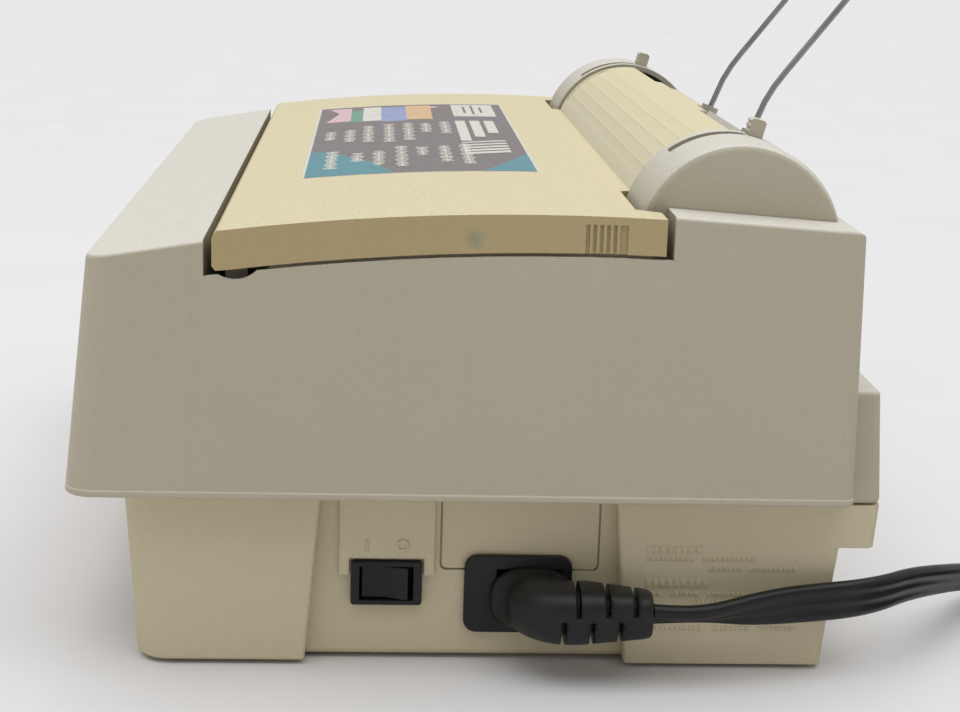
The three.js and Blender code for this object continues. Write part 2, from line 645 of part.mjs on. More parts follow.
function mainsInlet() {
  const { y, z, width, height } = INLET;
  const flange = box([PANEL_HALF + GAP, INLET_FACE],
    [y - width / 2, y + width / 2], [z - height / 2, z + height / 2]);
  const body = box([136, PANEL_HALF + 1], [y - 15.1, y + 15.1], [z - 10.2, z + 10.2]);
  const socket = box([139, 160], SOCKET.y, [z - 8.2, z + 8.2]);
  const pins = SOCKET.pins.map((at) => box([138, 152], [at - 1, at + 1], [z - 2, z + 2]));
  return joined(cut(joined(flange, body), socket), ...pins);
}

function switchHousing() {
  const { y, z, width, height } = SWITCH;
  const face = PANEL_HALF + 2.8;
  const bezel = box([PANEL_HALF + GAP, face],
    [y - width / 2, y + width / 2], [z - height / 2, z + height / 2]);
  const body = box([141, PANEL_HALF + 1], [y - 9.8, y + 9.8], [z - 6.2, z + 6.2]);
  const well = box([145, face + 1], [y - 8.2, y + 8.2], [z - 5.45, z + 5.45]);
  return cut(joined(bezel, body), well);
}

// two-position rocker, at rest with its front half pressed
function powerRocker() {
  const pivotX = 154;
  const tilt = THREE.MathUtils.degToRad(-10);
  const outline = [[-4, -5], [0, -7], [3.2, -7.2], [1.9, 0], [3.2, 7.2], [0, 7], [-4, 5]];
  const turned = outline.map(([a, b]) => [
    pivotX + a * Math.cos(tilt) - b * Math.sin(tilt),
    SWITCH.y + a * Math.sin(tilt) + b * Math.cos(tilt),
  ]);
  return alongZ(turned, [SWITCH.z - 5.15, SWITCH.z + 5.15]);
}

function dataConnector() {
  const shroud = box([-109.6, -50.4], [58, 73.6], [62.4, 77.6]);
  return cut(shroud, box([-105, -55], [62, 80], [65, 75]));
}

// ---- paper rest ---------------------------------------------------------------------------
function wireAxis(z) {
  return [WIRE_BEND[0] - (WIRE_BEND[1] - z) / WIRE_LOWER_SLOPE, z];
}

function slantRod(r, x, low, high) {
  const length = Math.hypot(high[0] - low[0], high[1] - low[1]);
  const geometry = new THREE.CylinderGeometry(r, r, length, 16);
  geometry.rotateX(Math.PI / 2);
  geometry.rotateX(-Math.atan2(high[0] - low[0], high[1] - low[1]));
  geometry.translate(x, (low[0] + high[0]) / 2, (low[1] + high[1]) / 2);
  return solidOf(geometry);
}

function circleShape(r, sides) {
  return new THREE.Shape(Array.from({ length: sides }, (_, i) => {
    const turn = 2 * Math.PI * i / sides;
    return new THREE.Vector2(r * Math.cos(turn), r * Math.sin(turn));
  }));
}

function tubeAlong(curve, r, sides, steps) {
  const settings = { steps, extrudePath: curve, bevelEnabled: false };
  return solidOf(new THREE.ExtrudeGeometry(circleShape(r, sides), settings));
}

function paperRest() {
  const rise = (y) => WIRE_BEND[1] + (y - WIRE_BEND[0]) * WIRE_UPPER_SLOPE;
  const leg = (side) => [
    [side * WIRE_X, ...wireAxis(145.6)], [side * WIRE_X, ...wireAxis(156)],
    [side * WIRE_X, ...wireAxis(163.5)],
    [side * WIRE_X, WIRE_BEND[0] + 0.3, WIRE_BEND[1] - 0.2], [side * WIRE_X, 59, rise(59)],
    [side * WIRE_X, 70, rise(70)], [side * WIRE_X, 105, rise(105)], [side * WIRE_X, 140, rise(140)],
    [side * WIRE_X, 155, rise(155)], [side * (WIRE_X - 3.5), 164.4, rise(164.4)],
    [side * (WIRE_X - 12), WIRE_TOP_Y, rise(WIRE_TOP_Y)],
  ];
  const points = [...leg(-1), ...leg(1).reverse()].map((p) => new THREE.Vector3(...p));
  return tubeAlong(new THREE.CatmullRomCurve3(points, false, 'centripetal'), WIRE_R, 8, 78);
}

// ---- mains lead ---------------------------------------------------------------------------
function plugRelief() {
  const length = 30;
  const geometry = new THREE.CylinderGeometry(6.9, 10.6, length, 16);
  geometry.scale(0.86, 1, 1);
  geometry.translate(171.6, 3 - length / 2, 22.4);
  return solidOf(geometry);
}

function powerPlug() {
  const head = alongX([[-46, 16], [-44, 11.5], [-39, 9.6], [-24, 9.6], [-20, 12], [-20, 32], [-24, 34],
    [-39, 34], [-44, 32], [-46, 27]], [INLET_FACE + GAP, 182]);
  const { z } = INLET;
  const insert = box([141, INLET_FACE + 1], [SOCKET.y[0] + 0.6, SOCKET.y[1] - 0.6], [z - 7.6, z + 7.6]);
  const sockets = SOCKET.pins.map((at) => box([140, 152.6], [at - 1.4, at + 1.4], [z - 2.4, z + 2.4]));
  return cut(joined(head, plugRelief(), insert), ...sockets);
}

function powerCord() {
  const curve = new THREE.CatmullRomCurve3(CORD_ROUTE.map((p) => new THREE.Vector3(...p)));
  return tubeAlong(curve, CORD_R, 10, 18);
}

function cordCoil() {
  const { inner, outer, top, x, y } = COIL;
  const section = [[inner + 4, 0.1], [outer - 4, 0.1], [outer, 4], [outer, top - 4], [outer - 4, top],
    [inner + 4, top], [inner, top - 4], [inner, 4], [inner + 4, 0.1]];
  const geometry = new THREE.LatheGeometry(section.map(([r, z]) => new THREE.Vector2(r, z)), 40);
  geometry.rotateX(Math.PI / 2);
  geometry.translate(x, y, 0);
  return solidOf(geometry);
}

function wallPlug() {
  const { x, y, height } = WALL_PLUG;
  const z = COIL.top + GAP;
  const outline = [[-30, -5], [-8, -9], [2, -13], [22, -13], [22, 13], [2, 13], [-8, 9], [-30, 5]];
  const body = alongZ(outline.map(([a, b]) => [x + a, y + b]), [z, z + height]);
  const blades = [-6.3, 6.3].map((dy) =>
    box([x + 21, x + 39], [y + dy - 0.8, y + dy + 0.8], [z + 5, z + 11.4]));
  const earth = rodX(2.4, [x + 21, x + 42], [y, z + 17], 16);
  return joined(body, ...blades, earth);
}

// ---- assembly -----------------------------------------------------------------------------
place('base_tray', baseTray(), BASE_COLOR, 0.6);
[-FOOT_X, FOOT_X].forEach((x) => FOOT_YS.forEach((y) => {
  place(`foot_${x > 0 ? 'right' : 'left'}_${y > 0 ? 'rear' : 'front'}`, foot(x, y), 0x2b2b2b, 0.85);
}));
place('upper_shell', upperShell(), SHELL_COLOR, 0.55);
place('rear_cover', rearCover(), SHELL_COLOR, 0.55);
place('lid', lid(), AGED_COLOR, 0.5);
place('platen_hood', hood(), AGED_COLOR, 0.5);
[['right', 1, 'release_lever'], ['left', -1, 'bail_lever']].forEach(([hand, side, lever]) => {
  place(`end_cap_${hand}`, endCap(side), SHELL_COLOR, 0.55);
  place(lever, feedLever(side), SHELL_COLOR, 0.5);
  place(`side_frame_${hand}`, sideFrame(side), STEEL, 0.45, 0.8);
  place(`platen_bush_${hand}`, platenBush(side), 0xe8e4da, 0.5);
});

place('platen_roller', platenRoller(), 0x202124, 0.7);
place('platen_shaft', rodX(SHAFT_R, [-143, 136], PLATEN), STEEL, 0.3, 0.9);
place('platen_gear', gear(GEAR_TEETH.platen, PLATEN[1], true, SHAFT_R + GAP, true), 0xe8e4da, 0.5);
place('idler_gear', gear(GEAR_TEETH.idler, IDLER_Z, false, 2.9, true), 0xe8e4da, 0.5);
place('feed_pinion', feedPinion(), 0xb59a55, 0.4, 0.8);
place('line_feed_motor', lineFeedMotor(), 0x4a4c50, 0.5, 0.6);
place('paper_pan', paperPan(), STEEL, 0.5, 0.7);
place('pressure_cradle', pressureCradle(), STEEL, 0.5, 0.7);
place('pressure_rollers', pressureRollers(), 0x26272a, 0.7);
place('paper_bail', paperBail(), STEEL, 0.3, 0.9);
[['left', -70], ['middle', 0], ['right', 70]].forEach(([where, x]) => {
  place(`bail_roller_${where}`, bailRoller(x), 0x26272a, 0.7);
});

[['rear', REAR_ROD], ['front', FRONT_ROD]].forEach(([where, { y, z, r }]) => {
  place(`guide_rod_${where}`, rodX(r, [-ROD_END, ROD_END], [y, z]), STEEL, 0.25, 0.95);
});
place('carriage', carriage(), BLACK, 0.6);
place('print_head', printHead(), 0x5b5d61, 0.5, 0.7);
place('ribbon_cartridge', ribbonCartridge(), 0x1f2022, 0.5);
place('carriage_motor', carriageMotor(), 0x4a4c50, 0.5, 0.6);
place('drive_pulley', drivePulley(), 0xb59a55, 0.4, 0.7);
place('idler_pulley', idlerPulley(), 0xe8e4da, 0.5);
place('idler_bracket', idlerBracket(), STEEL, 0.5, 0.7);
place('drive_belt', driveBelt(), BLACK, 0.8);

place('main_board', mainBoard(), 0x2f5f3a, 0.6);
place('transformer', transformer(), 0x6a6257, 0.5, 0.4);
place('mains_inlet', mainsInlet(), BLACK, 0.5);
place('switch_housing', switchHousing(), BLACK, 0.5);
place('power_rocker', powerRocker(), 0x141416, 0.45);
place('data_connector', dataConnector(), 0x9a9c9e, 0.4, 0.6);
place('panel_board', faceBox([55, 135], [28, 58], [8.4, 10]), 0x2f5f3a, 0.6);
KEY_XS.forEach((x, i) => {
  place(`front_key_${i + 1}`, faceBox([x - 8, x + 8], [36, 44], [-1.6, 6.4]), 0xb9b3a2, 0.5);
  place(`status_light_${i + 1}`, faceBox([x - 2.6, x + 2.6], [49.8, 52.2], [-0.4, 8]), 0x3f7a4a, 0.3);
});

place('paper_rest', paperRest(), 0x3b3c3e, 0.35, 0.9);
place('power_plug', powerPlug(), BLACK, 0.5);
place('power_cord', powerCord(), BLACK, 0.55);
place('power_cord_coil', cordCoil(), BLACK, 0.55);
place('wall_plug', wallPlug(), BLACK, 0.5);

export default printer;
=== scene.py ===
"""Looks for the desktop impact printer: rounded mouldings, procedural materials, cord and light.

Metres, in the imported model's frame: +X is the machine's right side, -Y its front, +Z up.
"""
import json
import math
import bmesh
import bpy
from mathutils import Matrix, Vector


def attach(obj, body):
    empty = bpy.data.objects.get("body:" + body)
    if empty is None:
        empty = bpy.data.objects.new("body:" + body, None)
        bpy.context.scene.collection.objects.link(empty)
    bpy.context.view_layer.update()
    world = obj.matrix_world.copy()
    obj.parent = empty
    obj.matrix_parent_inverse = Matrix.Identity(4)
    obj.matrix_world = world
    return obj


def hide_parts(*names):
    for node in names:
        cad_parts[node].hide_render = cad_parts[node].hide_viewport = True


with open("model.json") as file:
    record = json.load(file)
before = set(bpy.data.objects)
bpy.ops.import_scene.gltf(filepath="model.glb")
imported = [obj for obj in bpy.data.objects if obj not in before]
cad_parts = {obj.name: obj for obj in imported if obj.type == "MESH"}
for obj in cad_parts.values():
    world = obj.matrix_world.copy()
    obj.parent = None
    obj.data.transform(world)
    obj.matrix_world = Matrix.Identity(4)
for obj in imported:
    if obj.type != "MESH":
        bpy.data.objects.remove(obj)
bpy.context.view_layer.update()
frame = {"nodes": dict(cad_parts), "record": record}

MM = 0.001
AXIS_Y, AXIS_Z = 26.2, 130.7  # the platen's axis, in millimetres
PLATEN = Vector((0, AXIS_Y, AXIS_Z)) * MM
LID_CROWN = (-29 * MM, 142.05 * MM, 710 * MM)  # the top arc's crown (Y, Z) and radius

# ---- camera, floor and light ---------------------------------------------------------------
CAMERA_PLACE = Vector((0.68636, -0.08202, 0.22709))
CAMERA_RIGHT = Vector((0.05305, 0.99810, 0.03128))
CAMERA_BACK = Vector((0.96957, -0.05898, 0.23759))
CAMERA_LENS = 69.2
CLIP_START = 0.02
SKY_COLOR, SKY_STRENGTH = (1.0, 0.985, 0.965), 0.44
SUN_DIRECTION, SUN_STRENGTH, SUN_SPREAD = (0.03, -0.08, -0.95), 2.2, 80
SUN_COLOR = (0.97, 0.985, 1.0)
WINDOW_PLACE, WINDOW_TARGET = (0.5, -0.9, 0.9), (0.1, 0, 0.08)
WINDOW_SIZE, WINDOW_POWER = (0.9, 0.9), 1.2
FLOOR_HALF = 14


def make_camera():
    data = bpy.data.cameras.new("camera")
    data.lens = CAMERA_LENS
    data.clip_start = CLIP_START
    camera = bpy.data.objects.new("camera", data)
    bpy.context.collection.objects.link(camera)
    up = CAMERA_BACK.cross(CAMERA_RIGHT).normalized()
    right = up.cross(CAMERA_BACK).normalized()
    turn = Matrix((right, up, CAMERA_BACK.normalized())).transposed()
    camera.matrix_world = Matrix.Translation(CAMERA_PLACE) @ turn.to_4x4()
    bpy.context.scene.camera = camera


def make_light(name, kind, strength, direction):
    data = bpy.data.lights.new(name, kind)
    data.energy = strength
    light = bpy.data.objects.new(name, data)
    bpy.context.collection.objects.link(light)
    light.rotation_mode = "QUATERNION"
    light.rotation_quaternion = Vector(direction).to_track_quat("-Z", "Y")
    return light


def make_studio():
    world = bpy.data.worlds.new("studio")
    world.use_nodes = True
    sky = world.node_tree.nodes["Background"]
    sky.inputs["Color"].default_value = (*SKY_COLOR, 1)
    sky.inputs["Strength"].default_value = SKY_STRENGTH
    bpy.context.scene.world = world
    bpy.context.scene.view_settings.view_transform = "Standard"
    sun = make_light("overhead", "SUN", SUN_STRENGTH, SUN_DIRECTION)
    sun.data.angle = math.radians(SUN_SPREAD)
    sun.data.color = SUN_COLOR
    towards = Vector(WINDOW_TARGET) - Vector(WINDOW_PLACE)
    window = make_light("window", "AREA", WINDOW_POWER, towards)
    window.location = WINDOW_PLACE
    window.data.shape = "RECTANGLE"
    window.data.size, window.data.size_y = WINDOW_SIZE


# ---- node material helpers -----------------------------------------------------------------
STAIN_PLACE = (169.5 * MM, -53 * MM, 134.5 * MM)
STAIN_REACH = 3.6 * MM
STAIN_COLOR = (0.2, 0.25, 0.17)
STAIN_STRENGTH = 0.75
RAGGED = 0.3  # how far the stain's edge wanders, as a share of its reach
BLACK_SPECULAR = 0.3
LENS_COAT = 0.5


class Shader:
    """A material under construction: colours and bumps are mixed in one after another."""

    def __init__(self, name):
        self.material = bpy.data.materials.new(name)
        self.material.use_nodes = True
        self.tree = self.material.node_tree
        self.bsdf = self.tree.nodes["Principled BSDF"]
        self.place = self.tree.nodes.new("ShaderNodeTexCoord").outputs["Object"]
        self.color = None
        self.normal = None

    def node(self, kind, **settings):
        made = self.tree.nodes.new(kind)
        for key, value in settings.items():
            setattr(made, key, value)
        return made

    def link(self, source, target):
        self.tree.links.new(source, target)

    def noise(self, scale, detail=2.0, rough=0.5, stretch=(1, 1, 1)):
        mapping = self.node("ShaderNodeMapping")
        mapping.inputs["Scale"].default_value = stretch
        self.link(self.place, mapping.inputs["Vector"])
        noise = self.node("ShaderNodeTexNoise")
        noise.inputs["Scale"].default_value = scale
        noise.inputs["Detail"].default_value = detail
        noise.inputs["Roughness"].default_value = rough
        self.link(mapping.outputs["Vector"], noise.inputs["Vector"])
        return noise.outputs["Fac"]

    def ramp(self, value, low, high):
        ramp = self.node("ShaderNodeMapRange")
        ramp.inputs["From Min"].default_value = low
        ramp.inputs["From Max"].default_value = high
        self.link(value, ramp.inputs["Value"])
        return ramp.outputs["Result"]

    def up(self):
        """How far the surface faces up, from -1 to 1."""
        split = self.node("ShaderNodeSeparateXYZ")
        self.link(self.node("ShaderNodeTexCoord").outputs["Normal"], split.inputs["Vector"])
        return split.outputs["Z"]

    def near(self, middle, reach):
        """1 around a point of the piece, fading to 0 at a ragged edge."""
        away = self.node("ShaderNodeVectorMath", operation="DISTANCE")
        self.link(self.place, away.inputs[0])
        away.inputs[1].default_value = middle
        wobble = self.times(self.noise(300, 3, 0.6), RAGGED * reach * 2)
        total = self.node("ShaderNodeMath", operation="ADD")
        self.link(away.outputs["Value"], total.inputs[0])
        self.link(wobble, total.inputs[1])
        return self.ramp(total.outputs["Value"], reach * (1 + RAGGED), reach * 0.3)

    def times(self, value, share):
        product = self.node("ShaderNodeMath", operation="MULTIPLY")
        self.link(value, product.inputs[0])
        product.inputs[1].default_value = share
        return product.outputs["Value"]

    def paint(self, factor, color, start=None):
        """Mix a colour over what is there, by a factor from 0 to 1."""
        mix = self.node("ShaderNodeMix", data_type="RGBA")
        if self.color is None:
            mix.inputs["A"].default_value = (*start, 1)
        else:
            self.link(self.color, mix.inputs["A"])
        mix.inputs["B"].default_value = (*color, 1)
        self.link(factor, mix.inputs["Factor"])
        self.color = mix.outputs["Result"]

    def bump(self, height, distance, strength=1.0):
        bump = self.node("ShaderNodeBump")
        bump.inputs["Distance"].default_value = distance
        bump.inputs["Strength"].default_value = strength
        self.link(height, bump.inputs["Height"])
        if self.normal is not None:
            self.link(self.normal, bump.inputs["Normal"])
        self.normal = bump.outputs["Normal"]

    def roughness(self, value, low, high):
        span = self.node("ShaderNodeMapRange")
        span.inputs["To Min"].default_value = low
        span.inputs["To Max"].default_value = high
        self.link(value, span.inputs["Value"])
        self.link(span.outputs["Result"], self.bsdf.inputs["Roughness"])

    def done(self, metallic=0.0):
        self.bsdf.inputs["Metallic"].default_value = metallic
        self.link(self.color, self.bsdf.inputs["Base Color"])
        if self.normal is not None:
            self.link(self.normal, self.bsdf.inputs["Normal"])
        return self.material


def moulded_plastic(name, base, warm, speck, rough=(0.42, 0.6), grain=0.00006, top=None,
                    stained=False):
    """Spark-eroded moulding: tiny pits, darker specks, faint clouding, and painted light: faces
    that turn up are painted with a top colour, on the shell and lid a lighter, lit copy of the
    plastic over its shaded sides.

    A stained one has a stain at the lid's side."""
    s = Shader(name)
    cloud = s.noise(9, 4, 0.6)
    s.paint(s.ramp(cloud, 0.35, 0.7), warm, start=base)
    # painted light: faces that turn up are mixed towards the top colour, lit tops over the shaded
    # sides' base colour
    if top is not None:
        s.paint(s.ramp(s.up(), 0.15, 0.9), top)
    if stained:
        s.paint(s.times(s.near(STAIN_PLACE, STAIN_REACH), STAIN_STRENGTH), STAIN_COLOR)
    pits = s.noise(1500, 2, 0.6)
    s.paint(s.times(s.ramp(pits, 0.52, 0.74), 0.55), speck)
    s.paint(s.times(s.ramp(s.noise(60, 5, 0.7), 0.6, 0.9), 0.25), tuple(c * 0.82 for c in base))
    s.bump(pits, grain, 0.9)
    s.bump(s.noise(420, 2, 0.5), grain * 1.6, 0.5)
    s.roughness(s.noise(180, 3, 0.6), *rough)
    return s.done()


def black_moulding(name, base=(0.009, 0.009, 0.0095), rough=(0.34, 0.5), grain=0.00003):
    s = Shader(name)
    s.paint(s.ramp(s.noise(40, 4, 0.6), 0.4, 0.75), tuple(c * 1.7 for c in base), start=base)
    s.paint(s.times(s.ramp(s.noise(900, 2, 0.6), 0.62, 0.8), 0.3), (0.05, 0.049, 0.046))
    s.bump(s.noise(1300, 2, 0.6), grain)
    s.roughness(s.noise(150, 3, 0.6), *rough)
    s.bsdf.inputs["Specular IOR Level"].default_value = BLACK_SPECULAR
    return s.done()


def metal(name, base, rough, brush=(1, 1, 1), metallic=1.0):
    s = Shader(name)
    s.paint(s.ramp(s.noise(70, 4, 0.6), 0.35, 0.75), tuple(c * 0.72 for c in base), start=base)
    lines = s.noise(900, 2, 0.7, brush)
    s.bump(lines, 0.00002, 0.8)
    s.roughness(lines, *rough)
    return s.done(metallic)


def circuit_board(name):
    s = Shader(name)
    tracks = s.ramp(s.noise(160, 1, 0.4, (1, 0.15, 1)), 0.52, 0.56)
    s.paint(tracks, (0.05, 0.19, 0.09), start=(0.025, 0.12, 0.055))
    s.paint(s.ramp(s.noise(260, 0, 0.4), 0.72, 0.74), (0.55, 0.52, 0.42))
    s.bump(s.noise(400, 2, 0.5), 0.00005)
    s.roughness(s.noise(90), 0.3, 0.5)
    return s.done()


def printed(name, color):
    """Ink on a glossy plastic label, a little worn."""
    s = Shader(name)
    s.paint(s.ramp(s.noise(260, 3, 0.6), 0.4, 0.75), tuple(c * 0.86 for c in color), start=color)
    worn = s.times(s.ramp(s.noise(700, 2, 0.6), 0.62, 0.8), 0.35)
    s.paint(worn, tuple(c * 0.6 + 0.3 for c in color))
    s.bump(s.noise(500, 2, 0.6), 0.00001)
    s.roughness(s.noise(120, 3, 0.6), 0.3, 0.45)
    return s.done()


def make_materials():
    steel = (0.52, 0.53, 0.54)
    looks = {
        # the shell's and the lid's top colours are painted light from above: lighter copies of
        # their plastics over the shaded sides
        "shell_plastic": moulded_plastic(
            "shell_plastic", (0.465, 0.425, 0.325), (0.445, 0.4, 0.3), (0.38, 0.34, 0.25),
            top=(0.68, 0.655, 0.585)),
        "aged_plastic": moulded_plastic(
            "aged_plastic", (0.44, 0.345, 0.175), (0.42, 0.325, 0.16), (0.36, 0.28, 0.135),
            (0.38, 0.55), top=(0.71, 0.635, 0.41), stained=True),
        "hood_plastic": moulded_plastic(
            "hood_plastic", (0.7, 0.68, 0.55), (0.68, 0.655, 0.52), (0.58, 0.55, 0.42),
            (0.38, 0.55), top=(0.73, 0.655, 0.42)),
        "base_plastic": moulded_plastic(
            "base_plastic", (0.6, 0.535, 0.365), (0.57, 0.505, 0.335), (0.47, 0.41, 0.27)),
        "black_plastic": black_moulding("black_plastic"),
        "cord_jacket": black_moulding("cord_jacket", (0.008, 0.0083, 0.009), (0.28, 0.4), 0.00001),
        "foot_rubber": black_moulding("foot_rubber", (0.03, 0.03, 0.03), (0.8, 0.95), 0.00008),
        "roller_rubber": black_moulding("roller_rubber", (0.03, 0.031, 0.034), (0.55, 0.7)),
        "plated_steel": metal("plated_steel", steel, (0.3, 0.5)),
        "ground_steel": metal("ground_steel", (0.6, 0.61, 0.62), (0.12, 0.25), (60, 1, 1)),
        "dark_wire": metal("dark_wire", (0.3, 0.285, 0.28), (0.14, 0.24), (1, 1, 0.1)),
        "gear_plastic": moulded_plastic(
            "gear_plastic", (0.78, 0.75, 0.66), (0.75, 0.71, 0.6), (0.66, 0.62, 0.52), (0.3, 0.45),
            0.00002),
        "brass": metal("brass", (0.62, 0.45, 0.18), (0.25, 0.4)),
        "motor_metal": metal("motor_metal", (0.1, 0.1, 0.105), (0.4, 0.55), metallic=0.4),
        "head_metal": metal("head_metal", (0.3, 0.31, 0.32), (0.35, 0.5)),
        "board_green": circuit_board("board_green"),
        "transformer_core": metal(
            "transformer_core", (0.22, 0.19, 0.15), (0.45, 0.6), (1, 40, 1), 0.5),
        "key_plastic": moulded_plastic(
            "key_plastic", (0.42, 0.4, 0.33), (0.4, 0.375, 0.3), (0.33, 0.31, 0.25)),
        "light_lens": moulded_plastic(
            "light_lens", (0.05, 0.2, 0.07), (0.06, 0.24, 0.09), (0.04, 0.16, 0.06), (0.12, 0.2),
            0.00001),
    }
    inks = {"grey": (0.2, 0.165, 0.17), "teal": (0.085, 0.28, 0.33), "white": (0.74, 0.72, 0.64),
            "pink": (0.74, 0.5, 0.54), "green": (0.15, 0.34, 0.25), "blue": (0.3, 0.35, 0.6),
            "orange": (0.73, 0.48, 0.26)}
    looks.update({f"print_{ink}": printed(f"print_{ink}", color) for ink, color in inks.items()})
    lens = looks["light_lens"].node_tree.nodes["Principled BSDF"]
    lens.inputs["Coat Weight"].default_value = LENS_COAT
    return looks


# ---- mesh helpers --------------------------------------------------------------------------
SLOT_OF = {s["node"]: s["material_slot"] for s in frame["record"]["subparts"]}
BODY_OF = {node: body for body, nodes in frame["record"]["behaviour"]["bodies"].items()
           for node in nodes}
SLIMMER = {"paper_rest": 0.35 * MM}  # nodes shown a little slimmer than their solid
SHARP = 28  # degrees between two faces, from which their edge is rounded
WELD = 2e-6
FLAT = 0.6  # degrees between two faces, up to which they are one flat face
FILL_FAULT = 4e-6  # square metres by which a face's triangles may miss its area
KEPT_VOLUME = (0.85, 1.02)  # a trimmed solid's share of the volume before

UPRIGHT_SEGMENTS, RIM_SEGMENTS = 8, 5
OVAL_POINTS = 48

# ways to trim a solid: how flat (in degrees) neighbouring triangles are before they become one
# face, whether the solid's own overlaps are resolved, and the weld distance
SETTINGS = [(flat, own_overlaps, weld) for flat in (FLAT, 0.3, 0.1)
            for own_overlaps in (False, True) for weld in (WELD, 0, 8e-6)]


def finish_piece(name, bm, look, body, stands_for=()):
    """Turn a bmesh into a shown piece that rides on a body."""
    mesh = bpy.data.meshes.new(name)
    bm.to_mesh(mesh)
    bm.free()
    mesh.shade_smooth()
    piece = bpy.data.objects.new(name, mesh)
    bpy.context.collection.objects.link(piece)
    mesh.materials.append(look)
    weighted = piece.modifiers.new("weighted", "WEIGHTED_NORMAL")
    weighted.keep_sharp = True
    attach(piece, body)
    if stands_for:
        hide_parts(*stands_for)


def flatten(bm, flat):
    bmesh.ops.dissolve_limit(bm, angle_limit=math.radians(flat), verts=bm.verts, edges=bm.edges)


def solid_mesh(node):
    """A copy of a CAD node's mesh with its flat faces made whole."""
    bm = bmesh.new()
    bm.from_mesh(frame["nodes"][node].data)
    bmesh.ops.remove_doubles(bm, verts=bm.verts, dist=WELD)
    if node in SLIMMER:
        bm.normal_update()
        for vertex, normal in [(v, v.normal.copy()) for v in bm.verts]:
            vertex.co -= normal * SLIMMER[node]
    flatten(bm, FLAT)
    return bm


def round_off(bm, radius, segments, wanted=lambda middle, edge: True):
    """Round the sharp edges that are wanted, a test on an edge and its middle."""
    edges = [e for e in bm.edges if e.is_manifold and e.calc_face_angle() > math.radians(SHARP)
             and wanted((e.verts[0].co + e.verts[1].co) / 2, e)]
    if edges:
        bmesh.ops.bevel(bm, geom=edges, offset=radius, offset_type="OFFSET", segments=segments,
                        profile=0.5, affect="EDGES", clamp_overlap=True, miter_outer="ARC",
                        miter_inner="SHARP")


def boolean(target, tool, operation="DIFFERENCE", own_overlaps=False):
    """Apply one boolean between two meshes given as bmeshes, and return the result."""
    objects = []
    for bm in (target, tool):
        mesh = bpy.data.meshes.new("boolean")
        bmesh.ops.triangulate(bm, faces=bm.faces)
        bm.to_mesh(mesh)
        bm.free()
        made = bpy.data.objects.new("boolean", mesh)
        bpy.context.collection.objects.link(made)
        objects.append(made)
    modifier = objects[0].modifiers.new("cut", "BOOLEAN")
    modifier.operation, modifier.solver, modifier.object = operation, "EXACT", objects[1]
    modifier.use_self = own_overlaps
    shaped = objects[0].evaluated_get(bpy.context.evaluated_depsgraph_get())
    result = bmesh.new()
    result.from_mesh(shaped.to_mesh())
    shaped.to_mesh_clear()
    for made in objects:
        mesh = made.data
        bpy.data.objects.remove(made)
        bpy.data.meshes.remove(mesh)
    return result


def block_mm(x, y, z):
    """A box given by its spans, in millimetres."""
    spans = [(low * MM, high * MM) for low, high in (x, y, z)]
    size = [high - low for low, high in spans]
    middle = [(low + high) / 2 for low, high in spans]
    bm = bmesh.new()
    matrix = Matrix.Translation(middle) @ Matrix.Diagonal((*size, 1))
    bmesh.ops.create_cube(bm, size=1, matrix=matrix)
    return bm


def merge(bm, other):
    """Add another bmesh's faces to a bmesh."""
    mesh = bpy.data.meshes.new("merge")
    other.to_mesh(mesh)
    other.free()
    bm.from_mesh(mesh)
    bpy.data.meshes.remove(mesh)
    return bm


def prism(points, span):
    """A polygon in (Y, Z) run along X, in millimetres."""
    bm = bmesh.new()
    rows = [[bm.verts.new(Vector((x, y, z)) * MM) for y, z in points] for x in span]
    bm.faces.new(rows[0])
    bm.faces.new(rows[1])
    count = len(points)
    for i in range(count):
        bm.faces.new((rows[0][i], rows[0][(i + 1) % count], rows[1][(i + 1) % count], rows[1][i]))
    bmesh.ops.recalc_face_normals(bm, faces=bm.faces)
    return bm


def together(solids):
    """One bmesh of several solids that don't touch."""
    whole = solids[0]
    for solid in solids[1:]:
        merge(whole, solid)
    return whole


def united(solids):
    """One bmesh of several solids that overlap."""
    whole = solids[0]
    for solid in solids[1:]:
        whole = boolean(whole, solid, "UNION")
    return whole


def closed(bm):
    """True for a mesh without open edges, whose many-sided faces also fill their outlines."""
    filled = {}
    for loops in bm.calc_loop_triangles():
        a, b, c = (loop.vert.co for loop in loops)
        face = loops[0].face
        filled[face] = filled.get(face, 0) + (b - a).cross(c - a).length / 2
    return (all(edge.is_manifold for edge in bm.edges)
            and all(abs(area - face.calc_area()) < FILL_FAULT for face, area in filled.items()))


def softened(node, looks, radius=0.4, segments=2, envelope=None, cuts=None, keep=None, look=None):
    """Replace a CAD node by the same solid with rounded corners.

    radius is in millimetres. envelope makes a more rounded outer form to trim it to, cuts makes
    solids to take away, and keep tells which corners stay as they are. Meshes that meet face on
    face can leave an open edge, so a trimmed solid is tried with other settings until it comes
    out closed."""
    volume = solid_mesh(node).calc_volume()
    trimmed = envelope is not None or cuts is not None
    for flat, own_overlaps, weld in SETTINGS if trimmed else SETTINGS[:1]:
        bm = solid_mesh(node)
        if envelope is not None:
            bm = boolean(bm, envelope(), "INTERSECT", own_overlaps)
        if cuts is not None:
            bm = boolean(bm, cuts(), "DIFFERENCE", own_overlaps)
        if trimmed:
            bmesh.ops.remove_doubles(bm, verts=bm.verts, dist=weld)
            flatten(bm, flat)
        round_off(bm, radius * MM, segments, lambda middle, edge: keep is None or not keep(middle))
        if closed(bm) and KEPT_VOLUME[0] < bm.calc_volume() / volume < KEPT_VOLUME[1]:
            break
    slot = SLOT_OF[node]
    finish_piece(f"{node}_moulded", bm, looks[look or slot], BODY_OF[node], [node])


def along_z(edge):
    """True for an edge that runs more upright than level."""
    a, b = edge.verts
    return abs(a.co.z - b.co.z) > max(abs(a.co.x - b.co.x), abs(a.co.y - b.co.y))


